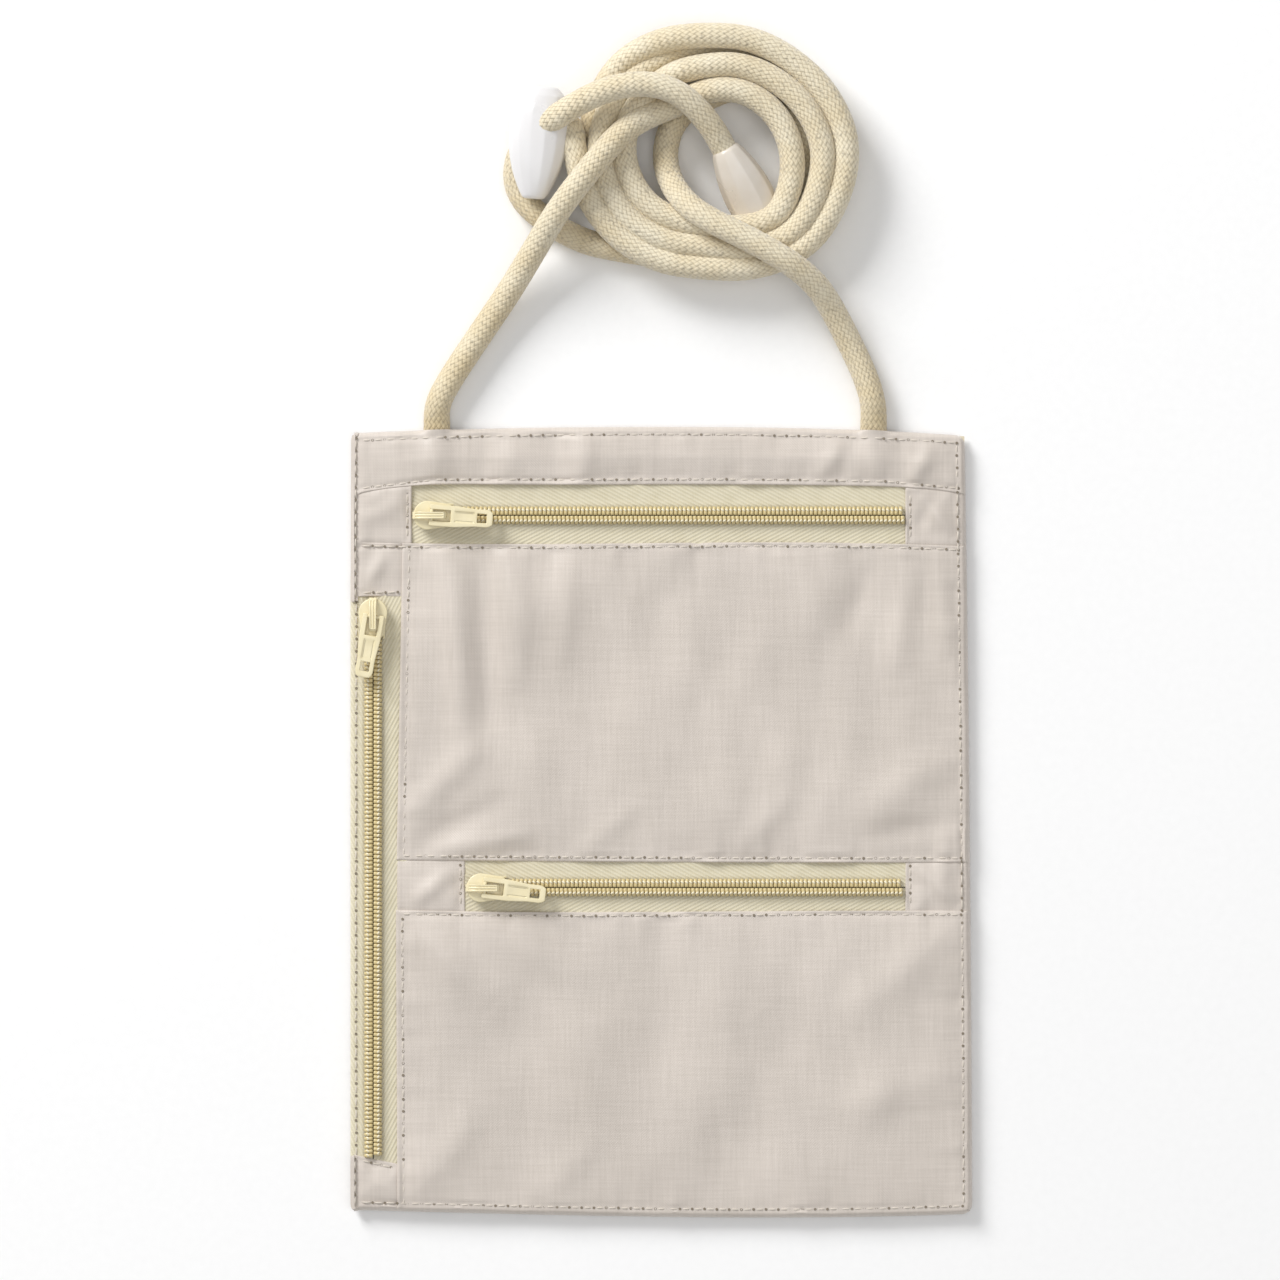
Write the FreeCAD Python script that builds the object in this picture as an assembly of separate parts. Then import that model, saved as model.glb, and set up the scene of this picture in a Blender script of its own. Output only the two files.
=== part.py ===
import FreeCAD, Part
import math
import os

# Neck pouch wallet: a flat fabric pouch with three zipped pockets on a braided neck cord.
# The pouch lies on its back. +X is to its right, +Y towards the cord, +Z out of its front.
# The origin is under the middle of the pouch, on the surface that it lies on.

V = FreeCAD.Vector

# Driving dimensions, in millimetres.
POUCH_WIDTH = 150.0
POUCH_HEIGHT = 190.0
CORNER_RADIUS = 2.5
CLOTH = 0.6
HEM_WIDTH = 1.7
LINING_GAP = 0.2
CORD_NOTCH_HALF = 4.0
CORD_NOTCH_DEPTH = 3.0

# Layers, from the surface up.
BACK_TOP = CLOTH
LINING_BOTTOM = 1.0
LINING_TOP = 1.3
TAPE_BOTTOM = 2.5
TAPE_TOP = 3.0
FRONT_TOP = TAPE_TOP + CLOTH

# Zip chain and slider.
CHAIN_HALF = 2.1
CHAIN_GROOVE = 0.25
CHAIN_TOP = 4.5
TAPE_GAP = 0.5
TAPE_HALF = 10.0
TAPE_TUCK = 5.0
COIL_START = 1.0
SLIDER_GAP = 0.4
SLIDER_LENGTH = 10.0
SLIDER_NOSE = 3.5
SLIDER_TAIL = 2.9
PLATE = 0.9
UNDER_PLATE_BOTTOM = 1.4
UNDER_PLATE_TOP = 2.2
TOP_PLATE_BOTTOM = 4.8
TOP_PLATE_TOP = TOP_PLATE_BOTTOM + PLATE
WALL_START = 5.0
WALL_CLEARANCE = 0.3
WALL_LIFT = 0.35
BRIDGE_TOP = 7.7
BRIDGE_HALF = 0.75
BRIDGE_CROWN = 0.6
BRIDGE_FOOT = (0.3, 8.3)
BRIDGE_FLAT = (2.7, 7.9)
BRIDGE_CAVITY = (2.9, 7.2)
DIVIDER = (0.4, 3.0)
DIVIDER_HALF = 0.18

# Pull, measured from its pin.
PIVOT_ALONG = 4.4
PIVOT_HEIGHT = 6.42
PIN_RADIUS = 0.55
PULL_THICKNESS = 1.1
PULL_LENGTH = 14.7
PULL_HALF = 2.45
PULL_TAPER_START = 5.0
PULL_SHOULDER_HALF = 1.8
PULL_TIP_HALF = 1.1
FORK_LENGTH = 4.5
FORK_HALF = 1.4
PULL_HOLE = (11.0, 13.3)
PULL_HOLE_HALF = 1.1

# Neck cord and its two adjusters.
CORD_RADIUS = 3.0
COIL_CENTRE = (10.6, 162.9)
COIL_HALF_WIDTH = 37.5
COIL_HALF_DEPTH = 31.5
COIL_HEIGHT = 12.6
COIL_HOLE = (15.0, 160.0, 12.0, 9.5)
COIL_ROUNDING = 3.5
ADJUSTER_CLEARANCE = 0.2
SEWN_HALF_WIDTH = 3.8
SEWN_LENGTH = 10.0

# Adjusters as sections from end to end: share of the length, half width, half thickness.
LEFT_ADJUSTER_ENDS = ((-28.0, 176.3, 8.6), (-31.0, 151.0, 8.6))
LEFT_ADJUSTER_SECTIONS = [
    (0.0, 3.4, 2.6), (0.1, 5.6, 4.2), (0.3, 6.9, 5.0), (0.55, 7.0, 5.0), (0.8, 5.6, 4.2), (0.95, 3.8, 3.0),
    (1.0, 3.0, 2.4),
]
RIGHT_ADJUSTER_ENDS = ((15.0, 162.3, 9.0), (24.2, 144.8, 4.0))
RIGHT_ADJUSTER_SECTIONS = [
    (0.0, 3.9, 3.9), (0.2, 5.3, 4.6), (0.5, 6.2, 4.6), (0.8, 5.2, 3.6), (1.0, 3.2, 2.4),
]

HALF_W = POUCH_WIDTH / 2
HALF_H = POUCH_HEIGHT / 2
LEFT_CORD_X = -54.0
RIGHT_CORD_X = 51.2

# Places of the front's seams and folds.
BAND_FOLD_Y = 80.6
MIDDLE_TOP_Y = 67.2
MIDDLE_BOTTOM_Y = -9.4
LOWER_TOP_Y = -21.4
SIDE_FOLD_X = -63.6
TOP_WINDOW = (-60.0, 58.8)
LOWER_WINDOW = (-47.2, 58.8)
SIDE_WINDOW = (54.4, -81.3)
TOP_CHAIN_Y = 74.0
LOWER_CHAIN_Y = -15.6
SIDE_CHAIN_X = -69.3

# How askew each pull hangs on its bridge: degrees, then a sideways shift.
TOP_PULL_ASKEW = (-4, 0.05)
LOWER_PULL_ASKEW = (-7, 0.1)
SIDE_PULL_ASKEW = (-10, 0.2)

# Routes of the free stretches of cord, as points.
LEFT_LEG = [
    (-54.0, 95.0, 3.1), (-54.0, 101.0, 3.1), (-50.0, 108.0, 3.2), (-43.0, 118.4, 3.3),
    (-36.4, 128.0, 4.4), (-30.4, 137.8, 7.6), (-25.6, 145.8, 11.4), (-20.2, 153.0, 14.0),
    (-14.9, 159.5, 14.2), (-10.3, 164.9, 12.8), (-5.8, 168.4, 11.0), (-1.2, 170.6, 9.6),
    (3.0, 172.4, 9.1),
]
RIGHT_LEG = [
    (51.2, 95.0, 3.1), (51.2, 101.0, 3.1), (49.2, 107.6, 3.2), (45.4, 115.6, 3.6),
    (41.0, 124.2, 6.2), (37.4, 131.8, 10.6), (32.6, 137.8, 14.2), (26.6, 141.2, 15.0),
    (20.6, 143.9, 15.0), (14.8, 146.9, 14.4), (9.4, 150.2, 12.2), (4.6, 154.4, 8.2),
    (1.6, 159.0, 4.8), (0.8, 163.6, 3.3), (2.6, 168.2, 3.1), (6.4, 172.2, 3.1),
]
OVER_STRAND = [
    (-14.4, 138.6, 3.1), (-21.8, 140.8, 3.1), (-28.4, 144.0, 3.1), (-33.8, 147.9, 3.1),
    (-36.8, 153.2, 3.1), (-36.8, 158.8, 3.6), (-34.2, 163.4, 6.2), (-30.4, 166.6, 9.8),
    (-25.9, 169.3, 13.0), (-20.2, 172.7, 15.2), (-13.6, 175.6, 15.9), (-7.0, 177.1, 16.1),
    (-0.8, 176.9, 16.0), (4.6, 174.7, 15.4), (9.0, 170.9, 13.6), (12.4, 166.7, 11.2),
    (15.0, 162.3, 9.0), (17.1, 158.2, 7.5),
]
CORD_TAIL = [
    (-21.0, 163.4, 8.4), (-21.4, 166.6, 7.2), (-23.4, 169.2, 5.6), (-26.4, 170.7, 4.6), (-29.4, 171.4, 4.2),
]


def box(x0, x1, y0, y1, z0, z1):
    """A block between two corners."""
    return Part.makeBox(x1 - x0, y1 - y0, z1 - z0, V(x0, y0, z0))


def sheet(x0, x1, y0, y1, z0, z1, radius=CORNER_RADIUS):
    """A flat piece of cloth with rounded upright corners."""
    slab = box(x0, x1, y0, y1, z0, z1)
    upright = [e for e in slab.Edges if abs(e.tangentAt(e.FirstParameter).z) > 0.9]
    return slab.makeFillet(radius, upright)


def save(name, shape):
    """Writes one named piece."""
    if not shape.isValid():
        raise ValueError(name + " is not valid")
    shape.exportStep("parts/" + name + ".step")


def outline(points, z0, z1):
    """A flat-sided block from its corners, seen from above."""
    corners = [V(x, y, z0) for x, y in points]
    wire = Part.makePolygon(corners + corners[:1])
    return Part.Face(wire).extrude(V(0, 0, z1 - z0))


# ---- the cloth pouch ----
def build_back():
    """Back panel, inner divider and the turned hems that join back and front."""
    save("back_panel", sheet(-HALF_W, HALF_W, -HALF_H, HALF_H, 0, BACK_TOP))
    margin = HEM_WIDTH + LINING_GAP
    lining_left = SIDE_FOLD_X + HEM_WIDTH + LINING_GAP
    save("divider_lining", box(lining_left, HALF_W - margin, -HALF_H + margin, HALF_H - margin,
                               LINING_BOTTOM, LINING_TOP))
    across = HALF_W - CORNER_RADIUS
    along = HALF_H - CORNER_RADIUS
    hem_top = box(-across, across, HALF_H - HEM_WIDTH, HALF_H, BACK_TOP, TAPE_TOP)
    for x in (LEFT_CORD_X, RIGHT_CORD_X):
        notch = box(x - CORD_NOTCH_HALF, x + CORD_NOTCH_HALF, HALF_H - CORD_NOTCH_DEPTH, HALF_H, 0, TAPE_TOP)
        hem_top = hem_top.cut(notch)
    save("hem_top", hem_top)
    save("hem_bottom", box(-across, across, -HALF_H, -HALF_H + HEM_WIDTH, BACK_TOP, TAPE_TOP))
    save("hem_left", box(-HALF_W, -HALF_W + HEM_WIDTH, -along, along, BACK_TOP, TAPE_TOP))
    save("hem_right", box(HALF_W - HEM_WIDTH, HALF_W, -along, along, BACK_TOP, TAPE_TOP))


def build_front():
    """Band and two pocket panels, with the short tabs beside each zip."""
    top, bottom = FRONT_TOP, TAPE_TOP
    save("top_band", sheet(-HALF_W, HALF_W, BAND_FOLD_Y, HALF_H, bottom, top))
    save("middle_panel", box(SIDE_FOLD_X, HALF_W, MIDDLE_BOTTOM_Y, MIDDLE_TOP_Y, bottom, top))
    save("lower_panel", sheet(SIDE_FOLD_X, HALF_W, -HALF_H, LOWER_TOP_Y, bottom, top))
    save("top_zip_left_tab", box(-HALF_W, TOP_WINDOW[0], MIDDLE_TOP_Y, BAND_FOLD_Y, bottom, top))
    save("top_zip_right_tab", box(TOP_WINDOW[1], HALF_W, MIDDLE_TOP_Y, BAND_FOLD_Y, bottom, top))
    save("lower_zip_left_tab", box(SIDE_FOLD_X, LOWER_WINDOW[0], LOWER_TOP_Y, MIDDLE_BOTTOM_Y, bottom, top))
    save("lower_zip_right_tab", box(LOWER_WINDOW[1], HALF_W, LOWER_TOP_Y, MIDDLE_BOTTOM_Y, bottom, top))
    save("side_zip_top_tab", box(-HALF_W, SIDE_FOLD_X, SIDE_WINDOW[0], MIDDLE_TOP_Y, bottom, top))
    save("side_zip_bottom_tab", sheet(-HALF_W, SIDE_FOLD_X, -HALF_H, SIDE_WINDOW[1], bottom, top))


# ---- zips, drawn along +X with the chain on y = 0 and the closed end at x = 0 ----
def slider_outline():
    """Rounded nose running into a narrower tail, as a face at height 0."""
    nose = Part.makeCylinder(SLIDER_NOSE, 1.0, V(SLIDER_NOSE, 0, 0))
    tail = box(SLIDER_NOSE, SLIDER_LENGTH, -SLIDER_TAIL, SLIDER_TAIL, 0, 1.0)
    return nose.fuse(tail).removeSplitter()


def plate(z0, z1):
    """One of the slider's two plates."""
    slab = slider_outline()
    low = min(slab.Faces, key=lambda f: f.CenterOfMass.z)
    flat = Part.Face(low.OuterWire)
    flat.translate(V(0, 0, z0))
    return flat.extrude(V(0, 0, z1 - z0))


def make_slider():
    """Two plates, side walls over the chain, a thin divider and the bridge that holds the pull."""
    body = plate(TOP_PLATE_BOTTOM, TOP_PLATE_TOP)
    body = body.fuse(plate(UNDER_PLATE_BOTTOM, UNDER_PLATE_TOP))
    for side in (-1, 1):
        inner = side * (CHAIN_HALF + WALL_CLEARANCE)
        outer = side * SLIDER_TAIL
        low, high = sorted((inner, outer))
        wall = box(WALL_START, SLIDER_LENGTH, low, high, TAPE_TOP + WALL_LIFT, TOP_PLATE_BOTTOM)
        body = body.fuse(wall)
    body = body.fuse(box(*DIVIDER, -DIVIDER_HALF, DIVIDER_HALF, UNDER_PLATE_TOP, TOP_PLATE_BOTTOM))
    side_view = [(BRIDGE_FOOT[0], TOP_PLATE_TOP), (BRIDGE_FLAT[0], BRIDGE_TOP),
                 (BRIDGE_FLAT[1], BRIDGE_TOP), (BRIDGE_FOOT[1], TOP_PLATE_TOP)]
    corners = [V(x, -BRIDGE_HALF, z) for x, z in side_view]
    arch = Part.Face(Part.makePolygon(corners + corners[:1])).extrude(V(0, 2 * BRIDGE_HALF, 0))
    cavity = box(*BRIDGE_CAVITY, -BRIDGE_HALF, BRIDGE_HALF, TOP_PLATE_TOP, BRIDGE_TOP - BRIDGE_CROWN)
    arch = arch.cut(cavity)
    return body.fuse(arch).removeSplitter()


def make_pull():
    """Forked tab with its pin through the bridge and a square hole near the tip."""
    z0 = PIVOT_HEIGHT - PULL_THICKNESS / 2
    z1 = PIVOT_HEIGHT + PULL_THICKNESS / 2
    start = PIVOT_ALONG
    tip = start + PULL_LENGTH
    shoulder = tip - 1.0
    edge = [(start, PULL_HALF), (start + PULL_TAPER_START, PULL_HALF),
            (shoulder, PULL_SHOULDER_HALF), (tip, PULL_TIP_HALF)]
    mirrored = [(x, -y) for x, y in reversed(edge)]
    blade = outline(edge + mirrored, z0, z1)
    blade = blade.cut(box(start, start + FORK_LENGTH, -FORK_HALF, FORK_HALF, z0, z1))
    hole = box(start + PULL_HOLE[0], start + PULL_HOLE[1], -PULL_HOLE_HALF, PULL_HOLE_HALF, z0, z1)
    blade = blade.cut(hole)
    pin = Part.makeCylinder(PIN_RADIUS, 2 * PULL_HALF, V(start, -PULL_HALF, PIVOT_HEIGHT), V(0, 1, 0))
    return blade.fuse(pin).removeSplitter()


def place(shape, origin, angle):
    """Moves a piece from the drawing position to its zip."""
    moved = shape.copy()
    moved.rotate(V(0, 0, 0), V(0, 0, 1), angle)
    moved.translate(V(origin[0], origin[1], 0))
    return moved


def build_zip(name, origin, angle, length, halves, askew):
    """One zip: two tapes, two rows of coil, slider and pull.

    halves is how far the tapes reach each side of the chain, left of its direction first.
    askew is how the pull hangs on its bridge: degrees and a sideways shift.
    """
    left, right = halves
    tilt, shift = askew
    tape_end = length + TAPE_TUCK
    pieces = {
        "tape_a": box(-TAPE_TUCK, tape_end, TAPE_GAP, left, TAPE_BOTTOM, TAPE_TOP),
        "tape_b": box(-TAPE_TUCK, tape_end, -right, -TAPE_GAP, TAPE_BOTTOM, TAPE_TOP),
        "coil_a": box(COIL_START, length, CHAIN_GROOVE, CHAIN_HALF, TAPE_TOP, CHAIN_TOP),
        "coil_b": box(COIL_START, length, -CHAIN_HALF, -CHAIN_GROOVE, TAPE_TOP, CHAIN_TOP),
    }
    slider = make_slider()
    slider.translate(V(SLIDER_GAP, 0, 0))
    pieces["slider"] = slider
    pull = make_pull()
    pull.rotate(V(PIVOT_ALONG, 0, 0), V(0, 0, 1), tilt)
    pull.translate(V(SLIDER_GAP, shift, 0))
    pieces["pull"] = pull
    for part, shape in pieces.items():
        save(name + "_zip_" + part, place(shape, origin, angle))


def build_zips():
    """The top, lower and side zips."""
    top = TOP_WINDOW[1] - TOP_WINDOW[0]
    lower = LOWER_WINDOW[1] - LOWER_WINDOW[0]
    side = SIDE_WINDOW[0] - SIDE_WINDOW[1]
    left_half = SIDE_CHAIN_X + HALF_W - HEM_WIDTH
    even = (TAPE_HALF, TAPE_HALF)
    build_zip("top", (TOP_WINDOW[0], TOP_CHAIN_Y), 0, top, even, TOP_PULL_ASKEW)
    build_zip("lower", (LOWER_WINDOW[0], LOWER_CHAIN_Y), 0, lower, even, LOWER_PULL_ASKEW)
    build_zip("side", (SIDE_CHAIN_X, SIDE_WINDOW[0]), -90, side, (TAPE_HALF, left_half), SIDE_PULL_ASKEW)


# ---- neck cord ----
def tube(name, route, radius=CORD_RADIUS):
    """A tube of straight runs joined by arcs as large as the runs allow; prints their radii."""
    points = [V(*p) for p in route]
    edges = []
    radii = []
    at = points[0]
    for before, corner, after in zip(points, points[1:], points[2:]):
        into = (corner - before).normalize()
        out = (after - corner).normalize()
        turn = into.getAngle(out)
        back = 0.45 * min(corner.distanceToPoint(before), after.distanceToPoint(corner))
        start = corner - into * back
        end = corner + out * back
        arc_radius = back / math.tan(turn / 2)
        middle = corner + (out - into).normalize() * (arc_radius / math.cos(turn / 2) - arc_radius)
        edges.append(Part.LineSegment(at, start).toShape())
        edges.append(Part.Arc(start, middle, end).toShape())
        radii.append(round(arc_radius, 1))
        at = end
    edges.append(Part.LineSegment(at, points[-1]).toShape())
    spine = Part.Wire(edges)
    ring = Part.makeCircle(radius, points[0], points[1] - points[0])
    shape = Part.Solid(spine.makePipeShell([Part.Wire(ring)], True, False))
    expected = math.pi * radius ** 2 * spine.Length
    print(name, "length", round(spine.Length, 1), "volume ratio", round(shape.Volume / expected, 4))
    print(name, "radii", radii)
    save(name, shape)


def build_coil():
    """The loosely wound stretch of the cord, as one oval ring."""
    x, y = COIL_CENTRE
    hole_x, hole_y, hole_w, hole_d = COIL_HOLE

    def oval(cx, cy, half_w, half_d):
        curve = Part.Ellipse(V(cx, cy, 0), half_w, half_d)
        return Part.Face(Part.Wire(curve.toShape())).extrude(V(0, 0, COIL_HEIGHT))

    solid = oval(x, y, COIL_HALF_WIDTH, COIL_HALF_DEPTH).cut(oval(hole_x, hole_y, hole_w, hole_d))
    rims = [e for e in solid.Edges if e.BoundBox.ZLength < 0.01]
    save("cord_coil", solid.makeFillet(COIL_ROUNDING, rims))


def adjuster(sections, ends, hole):
    """A bean-shaped cord adjuster lofted through oval sections, with one hole for the cord."""
    a, b = V(*ends[0]), V(*ends[1])
    along = (b - a).normalize()
    across = along.cross(V(0, 0, 1)).normalize()
    upward = across.cross(along)
    wires = []
    for share, half_w, half_t in sections:
        centre = a + (b - a) * share
        curve = Part.Ellipse(centre + across * half_w, centre + upward * half_t, centre)
        wires.append(Part.Wire(curve.toShape()))
    return Part.makeLoft(wires, True, False).cut(hole)


def bore(start, end, reach):
    """A round cord hole through a point pair, running past both by reach."""
    a, b = V(*start), V(*end)
    along = (b - a).normalize()
    radius = CORD_RADIUS + ADJUSTER_CLEARANCE
    return Part.makeCylinder(radius, b.distanceToPoint(a) + 2 * reach, a - along * reach, along)


def build_cord():
    """The free stretches of cord, their sewn ends, the coil and both adjusters."""
    tube("cord_left_leg", LEFT_LEG)
    tube("cord_right_leg", RIGHT_LEG)
    tube("cord_over_strand", OVER_STRAND)
    tube("cord_tail", CORD_TAIL)
    for name, x in (("cord_left_sewn_end", LEFT_CORD_X), ("cord_right_sewn_end", RIGHT_CORD_X)):
        left, right = x - SEWN_HALF_WIDTH, x + SEWN_HALF_WIDTH
        save(name, box(left, right, HALF_H - SEWN_LENGTH, HALF_H, LINING_TOP, TAPE_TOP))
    build_coil()
    across = bore(OVER_STRAND[6], OVER_STRAND[8], 8.0)
    save("adjuster_left", adjuster(LEFT_ADJUSTER_SECTIONS, LEFT_ADJUSTER_ENDS, across))
    mouth = bore(OVER_STRAND[15], OVER_STRAND[17], 0.0)
    save("adjuster_right", adjuster(RIGHT_ADJUSTER_SECTIONS, RIGHT_ADJUSTER_ENDS, mouth))


os.makedirs("parts", exist_ok=True)
build_back()
build_front()
build_zips()
build_cord()
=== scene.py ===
import logging
import math
from dataclasses import dataclass, field
from enum import Enum
from typing import Callable, Iterable, Mapping, Sequence, Union

import bmesh
import bpy
import numpy as np
from mathutils import Matrix, Vector


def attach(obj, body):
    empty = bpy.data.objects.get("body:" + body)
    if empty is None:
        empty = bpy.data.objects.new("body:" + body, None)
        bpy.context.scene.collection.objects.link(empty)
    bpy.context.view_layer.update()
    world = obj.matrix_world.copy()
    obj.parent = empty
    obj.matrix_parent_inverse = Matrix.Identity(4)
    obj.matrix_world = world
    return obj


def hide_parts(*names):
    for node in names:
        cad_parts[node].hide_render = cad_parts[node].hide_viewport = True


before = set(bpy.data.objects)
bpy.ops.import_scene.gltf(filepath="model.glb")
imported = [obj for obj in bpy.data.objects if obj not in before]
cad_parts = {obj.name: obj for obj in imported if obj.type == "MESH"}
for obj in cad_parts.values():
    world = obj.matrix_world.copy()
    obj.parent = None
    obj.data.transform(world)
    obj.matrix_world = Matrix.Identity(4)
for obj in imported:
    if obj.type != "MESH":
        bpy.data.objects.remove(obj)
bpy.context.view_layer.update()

LOG = logging.getLogger("pouch")

MM = 0.001
NEAR = 0.01
ROOT = "pouch"

Colour = tuple[float, float, float]
Point = tuple[float, float, float]
Flat = tuple[float, float]
Array = np.ndarray


def shade(red: int, green: int, blue: int) -> Colour:
    """Turns a colour on the usual 0 to 255 scale into the linear one of the shaders."""
    def linear(value: int) -> float:
        """One channel."""
        part = value / 255
        return part / 12.92 if part <= 0.04045 else ((part + 0.055) / 1.055) ** 2.4
    return linear(red), linear(green), linear(blue)


# ---------------------------------------------------------------- finishes
Feed = Union["Wire", bpy.types.NodeSocket, float, Sequence[float]]


class NodeBoard:
    """One material's nodes."""

    def __init__(self, name: str) -> None:
        """Starts an empty material.

        Args:
            name: the finish's name.
        """
        self.material = bpy.data.materials.new(name)
        self.material.use_nodes = True
        self.tree = self.material.node_tree
        self.tree.nodes.clear()

    def node(self, kind: str, settings: Mapping[str, object] | None = None,
             sockets: Mapping[Union[str, int], Feed] | None = None) -> bpy.types.Node:
        """Adds any node.

        Args:
            kind: the node's type.
            settings: its properties, which are set first.
            sockets: values or links of its inputs, by name or number.

        Returns:
            The node.
        """
        made = self.tree.nodes.new(kind)
        for key, value in (settings or {}).items():
            setattr(made, key, value)
        for key, feed in (sockets or {}).items():
            target = made.inputs[key]
            if isinstance(feed, Wire):
                self.tree.links.new(feed.socket, target)
            elif isinstance(feed, bpy.types.NodeSocket):
                self.tree.links.new(feed, target)
            else:
                target.default_value = feed
        return made

    def wire(self, node: bpy.types.Node, output: Union[str, int] = 0) -> "Wire":
        """Wraps one of a node's outputs."""
        return Wire(self, node.outputs[output])

    def place(self) -> bpy.types.NodeSocket:
        """The piece's own coordinates, in metres."""
        return self.node("ShaderNodeTexCoord").outputs["Object"]

    def surface(self) -> tuple["Wire", "Wire"]:
        """The piece's own UV map as two numbers."""
        split = self.node("ShaderNodeSeparateXYZ", None,
                          {0: self.node("ShaderNodeTexCoord").outputs["UV"]})
        return self.wire(split, "X"), self.wire(split, "Y")

    def axes(self) -> tuple["Wire", "Wire", "Wire"]:
        """The piece's own coordinates as three numbers."""
        split = self.node("ShaderNodeSeparateXYZ", None, {0: self.place()})
        return self.wire(split, "X"), self.wire(split, "Y"), self.wire(split, "Z")

    def cloud(self, size: Point, detail: float = 2.0, vector: bpy.types.NodeSocket | None = None) -> "Wire":
        """Noise from 0 to 1.

        Args:
            size: length of one blot along each axis, in millimetres.
            detail: how many finer layers it has.
            vector: coordinates to read, or the piece's own.

        Returns:
            The noise.
        """
        scale = tuple(1 / (length * MM) for length in size)
        spread = self.node("ShaderNodeMapping", None, {"Vector": vector or self.place(), "Scale": scale})
        return self.wire(self.node("ShaderNodeTexNoise", None, {
            "Vector": spread.outputs[0], "Scale": 1.0, "Detail": detail, "Roughness": 0.5}))

    def blend(self, share: Feed, first: Feed, second: Feed) -> bpy.types.NodeSocket:
        """Mixes two colours; share 0 gives the first."""
        def full(colour: Feed) -> Feed:
            """A plain colour gets its fourth number."""
            return (*colour, 1.0) if isinstance(colour, tuple) else colour
        mix = self.node("ShaderNodeMix", {"data_type": "RGBA"}, {0: share, 6: full(first), 7: full(second)})
        return mix.outputs[2]

    def relief(self, height: "Wire", depth: float, strength: float = 1.0) -> bpy.types.NodeSocket:
        """Bump from a height of 0 to 1, with its depth in millimetres."""
        return self.node("ShaderNodeBump", None, {
            "Height": height, "Distance": depth * MM, "Strength": strength}).outputs[0]

    def finish(self, **sockets: Feed) -> bpy.types.Material:
        """Closes the material with a main shader.

        Args:
            sockets: the shader's inputs, with underscores for spaces.

        Returns:
            The material.
        """
        named = {key.replace("_", " "): value for key, value in sockets.items()}
        shader = self.node("ShaderNodeBsdfPrincipled", None, named)
        self.node("ShaderNodeOutputMaterial", None, {"Surface": shader.outputs[0]})
        return self.material


class Wire:
    """A number on a socket, which takes part in Python arithmetic."""

    def __init__(self, board: NodeBoard, socket: bpy.types.NodeSocket) -> None:
        """Keeps the socket and the board it is on."""
        self.board = board
        self.socket = socket

    def maths(self, operation: str, *others: Feed) -> "Wire":
        """Adds a Math node with this number first."""
        node = self.board.node("ShaderNodeMath", {"operation": operation}, dict(enumerate([self, *others])))
        return self.board.wire(node)

    def __add__(self, other: Feed) -> "Wire":
        """Sum."""
        return self.maths("ADD", other)

    __radd__ = __add__

    def __mul__(self, other: Feed) -> "Wire":
        """Product."""
        return self.maths("MULTIPLY", other)

    __rmul__ = __mul__

    def __sub__(self, other: Feed) -> "Wire":
        """Difference."""
        return self.maths("SUBTRACT", other)

    def __rsub__(self, other: float) -> "Wire":
        """Reflected difference, as in 1 - mask."""
        return self * -1.0 + other

    def __abs__(self) -> "Wire":
        """Size without sign."""
        return self.maths("ABSOLUTE")

    def sine(self) -> "Wire":
        """Sine of an angle in radians."""
        return self.maths("SINE")

    def floor(self) -> "Wire":
        """Whole part."""
        return self.maths("FLOOR")

    def fraction(self) -> "Wire":
        """Part after the whole number, never negative."""
        return self.maths("FRACT")

    def clamp(self, low: float = 0.0, high: float = 1.0) -> "Wire":
        """Keeps the number between two limits."""
        return self.maths("MAXIMUM", low).maths("MINIMUM", high)


@dataclass(frozen=True)
class WovenCloth:
    """Fine plain weave with slubs in both directions and a soft satin sheen."""

    name: str = "woven_cloth"
    light: Colour = shade(221, 211, 202)
    dark: Colour = shade(187, 178, 168)
    thread: float = 0.62
    roughness: float = 0.44

    def material(self) -> bpy.types.Material:
        """Builds the finish."""
        board = NodeBoard(self.name)
        x, y, _ = board.axes()
        upright = board.cloud((0.45, 11.0, 6.0))
        level = board.cloud((11.0, 0.45, 6.0))
        broad = board.cloud((24.0, 30.0, 20.0))
        turn = 2 * math.pi / (self.thread * MM)
        weave = (x * turn).sine() * (y * turn).sine() * 0.5 + 0.5
        tone = (upright * 0.55 + level * 0.45 + broad * 0.5 - 0.25).clamp()
        colour = board.blend(tone, self.dark, self.light)
        height = weave * 0.5 + upright * 0.3 + level * 0.25
        return board.finish(
            Base_Color=colour, Roughness=broad * 0.14 + (self.roughness - 0.07),
            Sheen_Weight=0.35, Sheen_Roughness=0.4, Specular_IOR_Level=0.45,
            Normal=board.relief(height, 0.08, 0.6))


@dataclass(frozen=True)
class TwillTape:
    """Zip tape woven in slanting ribs that mirror about the chain."""

    name: str = "twill_tape"
    light: Colour = shade(226, 219, 197)
    dark: Colour = shade(196, 186, 154)
    rib: float = 0.84

    def material(self) -> bpy.types.Material:
        """Builds the finish."""
        board = NodeBoard(self.name)
        along, across = board.surface()
        turn = 2 * math.pi / (self.rib * MM)
        ribs = ((along * 0.46 + across * 0.89) * turn).sine() * 0.5 + 0.5
        picks = (along * (turn * 2.1)).sine() * 0.5 + 0.5
        patchy = board.cloud((3.0, 3.0, 3.0))
        tone = (ribs * 0.34 + picks * 0.12 + patchy * 0.5 + 0.06).clamp()
        return board.finish(
            Base_Color=board.blend(tone, self.dark, self.light), Roughness=patchy * 0.15 + 0.62,
            Sheen_Weight=0.25, Normal=board.relief(ribs * 0.8 + picks * 0.2, 0.11, 0.8))


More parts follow.
